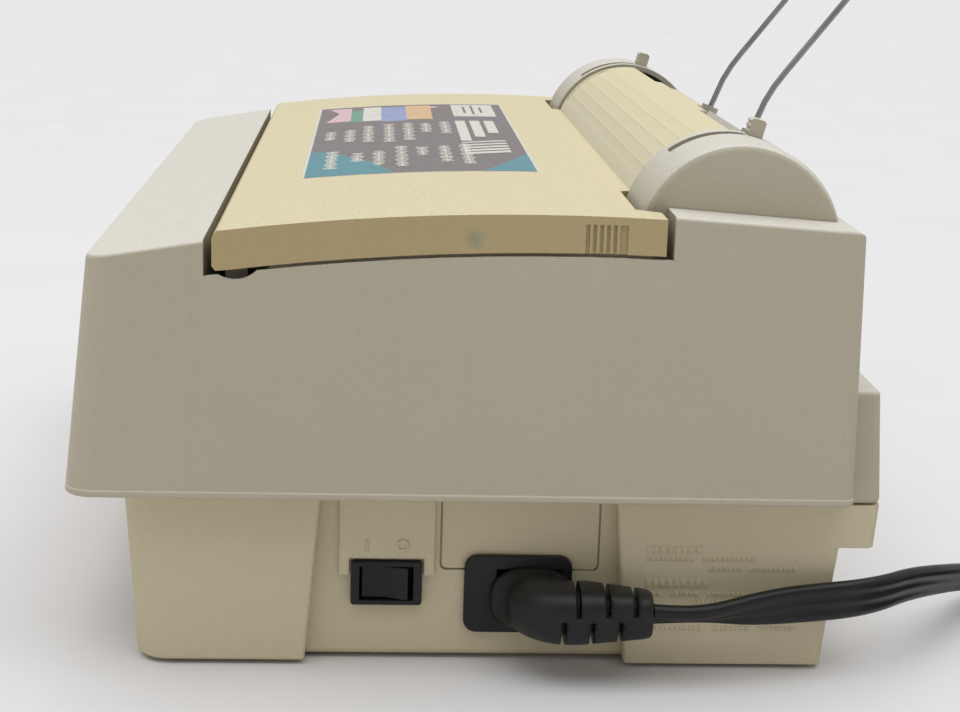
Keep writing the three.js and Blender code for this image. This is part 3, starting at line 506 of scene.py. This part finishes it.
def rounded_prism(points, half, uprights, rim):
    """A profile run across the machine, with its upright corners and then its rims rounded.

    uprights is a list of (radius in mm, test on the middle of an edge)."""
    bm = prism(points, (-half, half))
    for radius, wanted in uprights:
        round_off(bm, radius * MM, UPRIGHT_SEGMENTS,
                  lambda m, edge, test=wanted: along_z(edge) and test(m))
    round_off(bm, rim * MM, RIM_SEGMENTS)
    return bm


# ---- rounded outer forms -------------------------------------------------------------------
CAP_RADIUS = 31.03


def shell_envelope():
    """The shell's outer form: a bead runs round its lower edge, 0.35 mm proud of the walls."""
    bead = rounded_prism([(-171.55, 55.9), (-171.35, 58.5), (62.9, 58.5), (62.95, 55.9)], 169.95,
                         [(9.2, lambda m: m.y < -0.1), (3.3, lambda m: m.y > 0.05)], 0.9)
    walls = rounded_prism([(-171.3, 57.4), (-163.95, 127), (-130, 132.75), (4.3, 142.35),
                           (60.3, 139), (61.7, 95.4), (62.7, 57.4)], 169.65,
                          [(9, lambda m: m.y < -0.1), (3.1, lambda m: m.y > 0.05)], 1.3)
    bulge = rounded_prism([(50, 53.6), (73.65, 53.6), (70.95, 89.6), (50, 89.6)], 159.95,
                          [(3, lambda m: m.y > 0.065)], 2.0)
    return united([walls, bead, bulge])


def in_bead(m):
    """True where the shell's bead meets its walls."""
    return 57.2 * MM < m.z < 59.6 * MM


def base_envelope():
    """The base tray's outer form: a front and a rear body, a narrower waist, and the rim."""
    front = rounded_prism([(-152, 1.35), (-100.75, 1.35), (-95.75, 58.2), (-155.85, 58.2)], 159.95,
                          [(10, lambda m: m.y < -0.14), (1.2, lambda m: m.y > -0.11)], 2.4)
    rear = rounded_prism([(-2.65, 1.35), (59.05, 1.35), (61.65, 39.65), (72.75, 39.65),
                          (73.65, 53.5), (60.4, 58.2), (-7.45, 58.2)], 159.95,
                         [(1.2, lambda m: m.y < 0), (3, lambda m: m.y > 0.05)], 1.8)
    middle = rounded_prism([(-152, 1.35), (59.05, 1.35), (61.65, 39.7), (62.55, 58.2),
                            (-155.85, 58.2)], 154.65, [], 2.4)
    rim = block_mm((-168, 168), (-169.5, 61), (55.6, 59))
    plate = block_mm((151.5, 157.5), (-91, -61), (27.5, 57))
    return united([front, rear, middle, rim, plate])


def plate_envelope(x, y, z, corner, rim):
    """A plate with rounded corners at the end of a body that runs in from it."""
    bm = block_mm(x, y, z)
    round_off(bm, corner * MM, 6, lambda m, e: abs(e.verts[0].co.x - e.verts[1].co.x) > 0.001)
    front = [e for e in bm.edges if min(v.co.x for v in e.verts) > (x[1] - 0.01) * MM]
    bmesh.ops.bevel(bm, geom=front, offset=rim * MM, offset_type="OFFSET", segments=3,
                    profile=0.5, affect="EDGES", clamp_overlap=True)
    return bm


def inlet_envelope():
    return plate_envelope((130, 156.9), (-52.4, -19.4), (9.9, 34.7), 4, 0.5)


def switch_envelope():
    return plate_envelope((130, 157.5), (-87, -65.3), (18.7, 32.6), 1, 0.4)


def cone(place, axis, angle, depth, radius1, radius2, segments):
    """A capped cone or rod, in millimetres, turned from Z by an angle about an axis."""
    bm = bmesh.new()
    turn = Matrix.Rotation(math.radians(angle), 4, axis)
    bmesh.ops.create_cone(bm, cap_ends=True, segments=segments, radius1=radius1 * MM,
                          radius2=radius2 * MM, depth=depth * MM,
                          matrix=Matrix.Translation(Vector(place) * MM) @ turn)
    return bm


def cap_envelope(side):
    bm = cone((side * 123, AXIS_Y, AXIS_Z), "Y", 90, 60, CAP_RADIUS, CAP_RADIUS, 128)
    round_off(bm, 3 * MM, 6)
    return bm


# ---- small moulded detail ------------------------------------------------------------------
HOOD_LEDGES = (-58.5, -52.5, -44, -35.3, -25.4, -16)  # degrees round the platen, 0 at the top
HOOD_SKIRT = [-63 - 2 * k for k in range(9)]
LEVER_ANGLE, LEVER_LEAN, LEVER_X = 14, 14, 125.75
ON_MARK = ((-82.6, -81.8), (35.7, 39.5))
OFF_MARK = (-71.3, 37.6, 1.95, 1.2)
RING_STEPS = 32
# rows of bars on the rear pedestal: height above the floor, bar height, pitch and spans in Y
BAR_ROWS = [
    (37.4, 2.4, 2.2, ((2.6, 22.2),)), (35.1, 1.3, 1.5, ((2.8, 18.2), (20, 36.8))),
    (32, 1.3, 1.5, ((22, 33), (34.5, 50.4))), (26.6, 2.4, 2.2, ((2.9, 22.9),)),
    (23.8, 1.3, 1.5, ((3.4, 8.5), (10.5, 20), (22, 36))), (21, 1.3, 1.5, ((17.4, 30), (32, 50))),
    (16.2, 2.4, 2.2, ((2.6, 24),)), (12.6, 1.3, 1.5, ((6.5, 22), (24, 36), (38, 50.6))),
]
BAR_SHARE = 0.62  # a bar's width as a share of its pitch


def around(angle, radius):
    """The (Y, Z) place at an angle from straight up and a distance, both from the platen's axis."""
    turn = math.radians(angle)
    return AXIS_Y + radius * math.sin(turn), AXIS_Z + radius * math.cos(turn)


def hood_steps():
    """Flat bands along the hood, each a little lower at its front edge, for fine ledges."""
    bands = []
    for low, next_low in zip(HOOD_LEDGES, HOOD_LEDGES[1:]):
        high = next_low - 0.05
        outline = [around(low, 29.72), around(high, 29.9), around(high, 31.2), around(low, 31.2)]
        bands.append(prism(outline, (-112.2, 112.2)))
    return together(bands)


def hood_skirt():
    """The hood's front edge, which runs on down behind the lid."""
    outer = [around(angle, 29.97) for angle in HOOD_SKIRT]
    inner = [around(angle, 28.9) for angle in HOOD_SKIRT]
    return prism([*outer, *reversed(inner)], (-114.6, 114.6))


def deck_strips():
    """The deck's narrow strips behind the end caps."""
    outline = [(55.3, 137), (57.9, 137), (57.9, 138.86), (55.3, 139.03)]
    return together([prism(outline, sorted((side * 118.3, side * 153.4))) for side in (-1, 1)])


def in_hood_steps(m):
    """True on the hood's fine ledges."""
    across = math.degrees(math.atan2(m.y - PLATEN.y, m.z - PLATEN.z))
    return -61 < across < -13 and (m - PLATEN).yz.length > 29.3 * MM and abs(m.x) < 112.6 * MM


def lever_ridges(side):
    """The grooves between the ridges on a lever's front."""
    lean = math.radians(LEVER_LEAN)
    across = (0.45 * math.sin(lean), 0.45 * math.cos(lean))
    inward = (0.36 * math.cos(lean), -0.36 * math.sin(lean))
    corners = ((-1, -1), (-1, 1), (1, 1), (1, -1))
    cuts = []
    for i in range(5):
        y, z = around(LEVER_ANGLE, 27.8 + 1.75 * i)
        front = (y - 2.5 * math.cos(lean), z + 2.5 * math.sin(lean))
        outline = [[front[k] + a * across[k] + b * inward[k] for k in (0, 1)] for a, b in corners]
        cuts.append(prism(outline, (side * LEVER_X - 3.5, side * LEVER_X + 3.5)))
    return together(cuts)


def panel_groove():
    """The narrow gap round the snap-in panel over the mains inlet."""
    outer, inner = [], []
    for radius, width, target in ((2.2, 0.35, outer), (1.5, -0.35, inner)):
        low, left, right, high = 29.7 - width, -59.7 - width, -11.4 + width, 54.6 + width
        for y, start in ((left + radius, 180), (right - radius, 270)):
            for k in range(6):
                turn = math.radians(start + 18 * k)
                target.append((y + radius * math.cos(turn), low + radius + radius * math.sin(turn)))
        target += [(right, high), (left, high)]
    ring = prism(outer, (153.3, 156))
    return boolean(ring, prism(inner, (152, 157)))


def in_panel_groove(m):
    """True on the edges of the panel's gap."""
    return m.x > 153 * MM and -61 * MM < m.y < -9 * MM and 28 * MM < m.z < 56 * MM


def ring_mark(x, y, z, outer, inner):
    rim, hole = [[(y + radius * math.cos(2 * math.pi * k / RING_STEPS),
                   z + radius * math.sin(2 * math.pi * k / RING_STEPS)) for k in range(RING_STEPS)]
                 for radius in (outer, inner)]
    return boolean(prism(rim, x), prism(hole, (x[0] - 1, x[1] + 1)))


def base_marks():
    """The switch's on and off marks, and rows of plain raised bars on the rear pedestal."""
    face = (155.9, 156.65)
    marks = [block_mm(face, *ON_MARK), ring_mark(face, *OFF_MARK)]
    for z, height, pitch, spans in BAR_ROWS:
        for y0, y1 in spans:
            for k in range(int((y1 - y0) / pitch)):
                y = y0 + k * pitch
                bar_y = (y, y + pitch * BAR_SHARE)
                marks.append(block_mm((159.7, 160.28), bar_y, (z, z + height)))
    return together(marks)


# ---- the printed label on the lid ----------------------------------------------------------
LABEL_X = (-123, 82)
LABEL_Y = (-105, -28.3)
LABEL_STRIP = 4  # the label bends over the lid's curve in strips this wide
# rows of small strokes: the row's place in Y, and its start and end in X
STROKE_ROWS = [
    (-99, -37, -11), (-91.5, -40, -3), (-84.5, -50, 0), (-76.5, -53, 3), (-69, -56, 0),
    (-62, -53, -24), (-54.5, -57, -19), (-97, 22, 66), (-88, 30, 52), (-80.5, 27, 63),
    (-72.5, 16, 68), (-65, 20, 42), (-57, 18, 60), (-49.5, 13, 66),
]
STROKE_HEIGHTS = (4.2, 3.0, 3.4, 4.6)
STROKE_WIDTHS = (1.5, 1.1, 2.0)
STROKE_STEPS = (2.5, 2.2, 3.2)


def lid_top(y):
    crown_y, crown_z, radius = LID_CROWN
    return crown_z - (y - crown_y) ** 2 / (2 * radius)


def draped(name, polygons, lift, looks):
    """Flat coloured shapes, in millimetres of (X, Y), laid on the lid's curved top."""
    bm = bmesh.new()
    names = []
    for color, points in polygons:
        if color not in names:
            names.append(color)
        face = bm.faces.new([bm.verts.new((x * MM, y * MM, 0)) for x, y in points])
        face.material_index = names.index(color)
        face.normal_update()
        if face.normal.z < 0:
            face.normal_flip()
    for i in range(int((LABEL_Y[1] - LABEL_Y[0]) / LABEL_STRIP)):
        fold = (0, (LABEL_Y[0] + LABEL_STRIP * (i + 1)) * MM, 0)
        bmesh.ops.bisect_plane(bm, geom=bm.verts[:] + bm.edges[:] + bm.faces[:], plane_co=fold,
                               plane_no=(0, 1, 0))
    for v in bm.verts:
        v.co.z = lid_top(v.co.y) + lift * MM
    mesh = bpy.data.meshes.new(name)
    bm.to_mesh(mesh)
    bm.free()
    piece = bpy.data.objects.new(name, mesh)
    bpy.context.collection.objects.link(piece)
    for color in names:
        mesh.materials.append(looks[color])
    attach(piece, "lid")


def bar(x0, x1, y0, y1):
    """The corners of an upright rectangle."""
    return [(x0, y0), (x1, y0), (x1, y1), (x0, y1)]


def stroke_rows():
    """Rows of short strokes of uneven height and width, in place of lettering."""
    strokes = []
    for row, (y, start, end) in enumerate(STROKE_ROWS):
        x = start
        k = row
        while x < end:
            half = STROKE_HEIGHTS[k % 4] / 2
            strokes.append(bar(x, min(x + STROKE_WIDTHS[k % 3], end), y - half, y + half))
            if k % 5 != 4:
                strokes.append(bar(x, min(x + 2.4, end), y - 0.4, y + 0.4))
            x += STROKE_STEPS[k % 3]
            k += 1
    return strokes


def make_label(looks):
    x0, x1 = LABEL_X
    y0, y1 = LABEL_Y
    rim = bar(x0 - 0.9, x1 + 0.9, y0 - 0.9, y1 + 0.9)
    draped("lid_label_rim", [("print_white", rim)], 0.03, looks)
    draped("lid_label_ground", [("print_grey", bar(x0, x1, y0, y1))], 0.07, looks)
    shapes = [
        ("print_teal", [(18, y0), (24, -97), (40, -90), (52, -84), (66, -80), (x1, -75), (x1, y0)]),
        ("print_teal", [(x1, -46), (62, -37), (38, y1), (x1, y1)]),
        ("print_white", bar(-120, -76, -49.6, -32)),
        ("print_pink", [(-118, -101.5), (-100, -97), (-70, -102), (-70, -92), (-118, -92)]),
        ("print_green", bar(-108, -66, -92, -87)),
        ("print_white", bar(-118, -68, -87, -79.5)),
        ("print_blue", bar(-116, -64, -79.5, -69)),
        ("print_orange", bar(-119, -68, -69, -58.5)),
        ("print_pink", [(-116, -58.5), (-112, -54), (-108, -58.5)]),
    ]
    draped("lid_label_shapes", shapes, 0.11, looks)
    white = stroke_rows()
    white += [bar(-60, -20, -38.5, -34.5), bar(-60, -8, -44.2, -40.2), bar(-60, 4, -50, -46)]
    for k in range(5):
        x, width = 8 + 7.2 * k, 3.4 + 0.5 * k
        white.append([(x, -50), (x + width, -50), (x + width - 6.5, -33.5), (x - 6.5, -33.5)])
    grey = [bar(start, end, y - 0.5, y + 0.5)
            for y, start, end in ((-44.5, -112, -88), (-41, -116, -84), (-37.5, -110, -90))]
    strokes = [("print_white", points) for points in white]
    strokes += [("print_grey", points) for points in grey]
    draped("lid_label_strokes", strokes, 0.15, looks)


# ---- measures of the mains lead ------------------------------------------------------------
CORD_WIDTH = 12 * MM
CORD_THICK = 4.4 * MM
# the lead's way from the plug to the coil, and its tilt in degrees at each of these points
CORD_ROUTE = [
    (172, 3.3, 22.5), (172, 12, 22.4), (171.5, 22, 22.8), (170.2, 34, 23.6), (168.6, 46, 24.6),
    (167.6, 57, 25.3), (164.6, 67, 25.3), (158.4, 77, 24.8), (149, 86, 23.6), (138.4, 96, 21.1),
    (126.6, 106, 17.6), (114.6, 115.4, 13.8), (103.4, 124.6, 10.4), (93.3, 135, 8),
    (84.9, 147.6, 7.1), (79.3, 161, 7), (77.6, 177, 7),
]
CORD_TILT = [56, 64, 58, 24, 4, -2, 2, 8, 14, 22, 30, 34, 30, 20, 8, 0, 0]
COIL_MIDDLE = Vector((154, 196, 0)) * MM
COIL_RADII = (74.5, 49.5)
COIL_START = 184
COIL_TURNS = 3.8
COIL_POINTS = 20
COIL_HEIGHT = 7
TIE_ANGLE = 300
TIE_RADII, TIE_HEIGHTS, TIE_CORNER, TIE_THICK = (46.9, 76.4), (0.15, 13.9), 3.2, 0.8
WALL_PLUG = (180, 257.5, 25.3)
# angle round the coil, radius and height of the cord's rise over the turns to the wall plug
CLIMB = [
    (238, 49, 7.5), (220, 48.7, 9.3), (202, 48.7, 12.2), (184, 48.8, 15.6), (166, 49.3, 19),
    (148, 51.2, 21.9), (130, 54.2, 24), (112, 57.9, 25.1), (97.5, 61.1, 25.3),
]

PLUG_PIVOT = (159.6, -18.5, 0)  # the centre of the plug's quarter turn
# the plug's collar: middle (X, Y), half width and half height
COLLAR = (((157.2, -31.6), 12.4, 9.6), ((157.6, -31.6), 12.8, 10), ((158.7, -31.6), 12.8, 10),
          ((159.2, -31.4), 12.3, 9.5))
COLLAR_HEIGHT = 21.4
TURN_STEPS = 12
# the strain relief's rings: share of its length, and how much they are drawn in at its end
RELIEF_RINGS = ((0.12, 1), (0.3, 1), (0.5, 1), (0.7, 1), (0.88, 1), (0.97, 0.97), (1, 0.88))
# the wall plug's rings: distance from its middle, half width and half height
WALL_PLUG_RINGS = (
    (-30, 6.2, 5), (-28, 7.2, 5.6), (-14, 8, 6.6), (-7, 8.8, 7.6), (-2, 11.5, 9.4), (3, 12.8, 10.6),
    (10, 12.9, 10.9), (20.4, 12.9, 10.9), (21.6, 12.5, 10.5), (22, 11.6, 9.6),
)


# ---- plugs ---------------------------------------------------------------------------------
def lofted(rings):
    """A closed solid through rings of points that have the same number of points."""
    bm = bmesh.new()
    rows = [[bm.verts.new(Vector(p) * MM) for p in ring] for ring in rings]
    for a, b in zip(rows, rows[1:]):
        for k in range(len(a)):
            bm.faces.new((a[k], a[(k + 1) % len(a)], b[(k + 1) % len(a)], b[k]))
    bm.faces.new(rows[0])
    bm.faces.new(rows[-1])
    bmesh.ops.recalc_face_normals(bm, faces=bm.faces)
    return bm


def oval(middle, across, up, half_across, half_up, power=2.6):
    """A ring of points on an oval; a higher power makes it squarer."""
    points = []
    for k in range(OVAL_POINTS):
        turn = 2 * math.pi * k / OVAL_POINTS
        c, s = math.cos(turn), math.sin(turn)
        a = half_across * math.copysign(abs(c) ** (2 / power), c)
        b = half_up * math.copysign(abs(s) ** (2 / power), s)
        points.append(Vector(middle) + Vector(across) * a + Vector(up) * b)
    return points


def power_plug_solid():
    """A right-angled moulded plug: the head turns from the inlet to a ribbed strain relief."""
    up = (0, 0, 1)
    pivot = Vector(PLUG_PIVOT)
    rings = [oval((*middle, COLLAR_HEIGHT), (0, -1, 0), up, half_across, half_up)
             for middle, half_across, half_up in COLLAR]
    for step in range(TURN_STEPS + 1):
        share = step / TURN_STEPS
        turn = math.radians(6 + 84 * share)
        out = Vector((math.sin(turn), -math.cos(turn), 0))
        deep = 22 - 1.6 * share
        middle = pivot + out * ((deep + 1) / 2)
        middle.z = 21.2 + 0.9 * share
        half_up = 9.3 - 0.5 * share
        rings.append(oval(middle, out, up, (deep - 1) / 2, half_up, 2.4 + 0.4 * share))
    for share, shrink in RELIEF_RINGS:
        middle = (170.2 + 1.8 * share, -18.5 + 21.5 * share, 22.2 + 0.3 * share)
        half_across = (9.9 - 3.5 * share) * shrink
        half_up = (8.9 - 2.0 * share) * shrink
        rings.append(oval(middle, (1, 0, 0), up, half_across, half_up, 2.9))
    body = lofted(rings)
    slots = [block_mm((150, 190), (y - 0.75, y + 0.75), (23.6, 40)) for y in (-19.4, -10.6, -2.3)]
    slots += [block_mm((150, 190), (y - 0.75, y + 0.75), (5, 22.4)) for y in (-23.6, -15.2, -6.8)]
    core = cone((171, -11, 22.3), "X", -90, 44, 6.6, 5.0, 40)
    body = boolean(body, boolean(together(slots), core))
    return boolean(body, block_mm((141, 158), (-40.6, -24.6), (15.6, 27.2)), "UNION")


def wall_plug_solid():
    """A moulded wall plug lying on the coil, with its ribbed relief towards the cord."""
    up = (0, 0, 1)
    x, y, z = WALL_PLUG
    body = lofted([oval((x + a, y, z), (0, 1, 0), up, half_y, half_z, 3.2)
                   for a, half_y, half_z in WALL_PLUG_RINGS])
    slots = [block_mm((x + a - 0.8, x + a + 0.8), (y - 20, y + 20), (z + low, z + low + 6))
             for a, low in ((-26, 3), (-22.5, -9), (-19, 3), (-15.5, -9))]
    core = block_mm((x - 40, x), (y - 4.5, y + 4.5), (z - 2.6, z + 2.6))
    body = boolean(body, boolean(together(slots), core))
    blades = [block_mm((x + 21, x + 38.6), (y + dy - 0.75, y + dy + 0.75), (z - 6, z + 0.4))
              for dy in (-6.3, 6.3)]
    for blade in blades:
        round_off(blade, 0.5 * MM, 2)
    earth = cone((x + 31.4, y, z + 6), "Y", 90, 20.6, 2.35, 2.35, 24)
    round_off(earth, 1.4 * MM, 3)
    return body, together([*blades, earth])


def cord_tie_solid():
    """A flat strap round the coil's turns."""
    turn = math.radians(TIE_ANGLE)
    out = Vector((math.cos(turn), math.sin(turn), 0))
    along = Vector((-out.y, out.x, 0))
    up = Vector((0, 0, 1))
    bm = bmesh.new()
    sides = []
    for inset in (0, TIE_THICK):
        corner = TIE_CORNER - inset
        low_r, high_r = TIE_RADII[0] + inset + corner, TIE_RADII[1] - inset - corner
        low_z, high_z = TIE_HEIGHTS[0] + inset + corner, TIE_HEIGHTS[1] - inset - corner
        loop = []
        for r, z, start in ((high_r, high_z, 0), (low_r, high_z, 90), (low_r, low_z, 180),
                            (high_r, low_z, 270)):
            for k in range(5):
                bend = math.radians(start + 22.5 * k)
                loop.append((r + corner * math.cos(bend), z + corner * math.sin(bend)))
        for shift in (-4.5, 4.5):
            sides.append([bm.verts.new(COIL_MIDDLE + (out * r + along * shift + up * z) * MM)
                          for r, z in loop])
    count = len(loop)
    for k in range(count):
        n = (k + 1) % count
        for a, b in ((0, 1), (1, 3), (3, 2), (2, 0)):
            bm.faces.new((sides[a][k], sides[a][n], sides[b][n], sides[b][k]))
    bmesh.ops.recalc_face_normals(bm, faces=bm.faces)
    return bm


# ---- the mains lead ------------------------------------------------------------------------
def ribbon_section():
    """Flat three-core cord: three round cores side by side with shallow grooves between."""
    core = CORD_THICK / 2
    centres = [-(CORD_WIDTH / 2 - core), 0, CORD_WIDTH / 2 - core]
    web = core * 0.8
    steps = 28
    top = []
    for i in range(steps + 1):
        x = -CORD_WIDTH / 2 * math.cos(math.pi * i / steps)
        y = max(math.sqrt(max(core ** 2 - (x - c) ** 2, 0)) for c in centres)
        if abs(x) < centres[2]:
            y = max(y, web)
        top.append((x, y))
    outline = top + [(x, -y) for x, y in reversed(top[1:-1])]
    curve = bpy.data.curves.new("ribbon_section", "CURVE")
    curve.dimensions = "2D"
    spline = curve.splines.new("POLY")
    spline.points.add(len(outline) - 1)
    for point, (x, y) in zip(spline.points, outline):
        point.co = (y, x, 0, 1)
    spline.use_cyclic_u = True
    return bpy.data.objects.new("ribbon_section", curve)


def coil_route():
    """The stored length: flat turns on edge, then a rise over them into the wall plug."""
    stations = []
    total = round(COIL_TURNS * COIL_POINTS)
    for i in range(total + 1):
        radius = COIL_RADII[0] + (COIL_RADII[1] - COIL_RADII[0]) * i / total
        stations.append((COIL_START - 360 * i / COIL_POINTS, radius, COIL_HEIGHT))
    points = []
    for angle, radius, height in stations + CLIMB:
        turn = math.radians(angle)
        place = Vector((radius * math.cos(turn), radius * math.sin(turn), height))
        points.append(COIL_MIDDLE + place * MM)
    x, y, z = WALL_PLUG
    return points + [Vector((x - 29.5, y, z)) * MM, Vector((x - 27, y, z)) * MM]


def make_cord(looks):
    route = [Vector(p) * MM for p in CORD_ROUTE] + coil_route()
    tilts = CORD_TILT + [0] * (len(route) - len(CORD_TILT))
    curve = bpy.data.curves.new("mains_cord", "CURVE")
    curve.dimensions = "3D"
    curve.twist_mode = "Z_UP"
    curve.bevel_mode = "OBJECT"
    curve.bevel_object = ribbon_section()
    curve.use_fill_caps = True
    curve.resolution_u = 6
    spline = curve.splines.new("NURBS")
    spline.points.add(len(route) - 1)
    for point, place, tilt in zip(spline.points, route, tilts):
        point.co = (*place, 1)
        point.tilt = math.radians(tilt)
    spline.order_u = 3
    spline.use_endpoint_u = True
    cord = bpy.data.objects.new("mains_cord", curve)
    bpy.context.collection.objects.link(cord)
    curve.materials.append(looks["cord_jacket"])
    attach(cord, "case")
    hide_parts("power_cord", "power_cord_coil")
    return cord


# ---- nodes that need more than rounding ----------------------------------------------------
NOT_ROUNDED = ("power_cord", "power_cord_coil", "power_plug", "wall_plug")
SPECIAL = {
    "upper_shell": {"radius": 0.6, "segments": 3, "envelope": shell_envelope, "keep": in_bead},
    "base_tray": {"radius": 0.5, "envelope": base_envelope, "cuts": panel_groove,
                  "keep": in_panel_groove},
    "lid": {"radius": 0.6, "segments": 3},
    "platen_hood": {"radius": 0.5, "cuts": hood_steps, "keep": in_hood_steps,
                    "look": "hood_plastic"},
    "mains_inlet": {"envelope": inlet_envelope},
    "switch_housing": {"envelope": switch_envelope},
    "end_cap_right": {"radius": 0.5, "envelope": lambda: cap_envelope(1)},
    "end_cap_left": {"radius": 0.5, "envelope": lambda: cap_envelope(-1)},
    "release_lever": {"radius": 0.3, "cuts": lambda: lever_ridges(1)},
    "bail_lever": {"radius": 0.3, "cuts": lambda: lever_ridges(-1)},
}
# small pieces on a node's body: name, solid, node and look
DETAILS = (("base_marks", base_marks, "base_tray", "base_plastic"),
           ("hood_skirt", hood_skirt, "platen_hood", "hood_plastic"),
           ("deck_strips", deck_strips, "upper_shell", "shell_plastic"))


def make_lead_ends(looks):
    black = looks["black_plastic"]
    finish_piece("power_plug_moulded", power_plug_solid(), black, "case",
                 ["power_plug"])
    body, pins = wall_plug_solid()
    finish_piece("wall_plug_moulded", body, black, "case", ["wall_plug"])
    finish_piece("wall_plug_pins", pins, looks["brass"], "case")
    finish_piece("cord_tie", cord_tie_solid(), black, "case")


def make_floor():
    mesh = bpy.data.meshes.new("floor")
    bm = bmesh.new()
    bmesh.ops.create_grid(bm, x_segments=1, y_segments=1, size=FLOOR_HALF)
    bm.to_mesh(mesh)
    bm.free()
    floor = bpy.data.objects.new("floor", mesh)
    bpy.context.collection.objects.link(floor)
    s = Shader("paper_floor")
    s.paint(s.ramp(s.noise(12, 4), 0.3, 0.8), (0.72, 0.71, 0.72), start=(0.75, 0.74, 0.75))
    s.bump(s.noise(60, 4, 0.6), 0.00012)
    s.roughness(s.noise(40), 0.75, 0.85)
    mesh.materials.append(s.done())
    return floor


make_camera()
make_studio()
looks = make_materials()
cord = make_cord(looks)
make_lead_ends(looks)
make_label(looks)
for name in frame["nodes"]:
    if name not in NOT_ROUNDED:
        softened(name, looks, **SPECIAL.get(name, {}))
for name, solid, node, look in DETAILS:
    finish_piece(name, solid(), looks[look], BODY_OF[node])
make_floor()
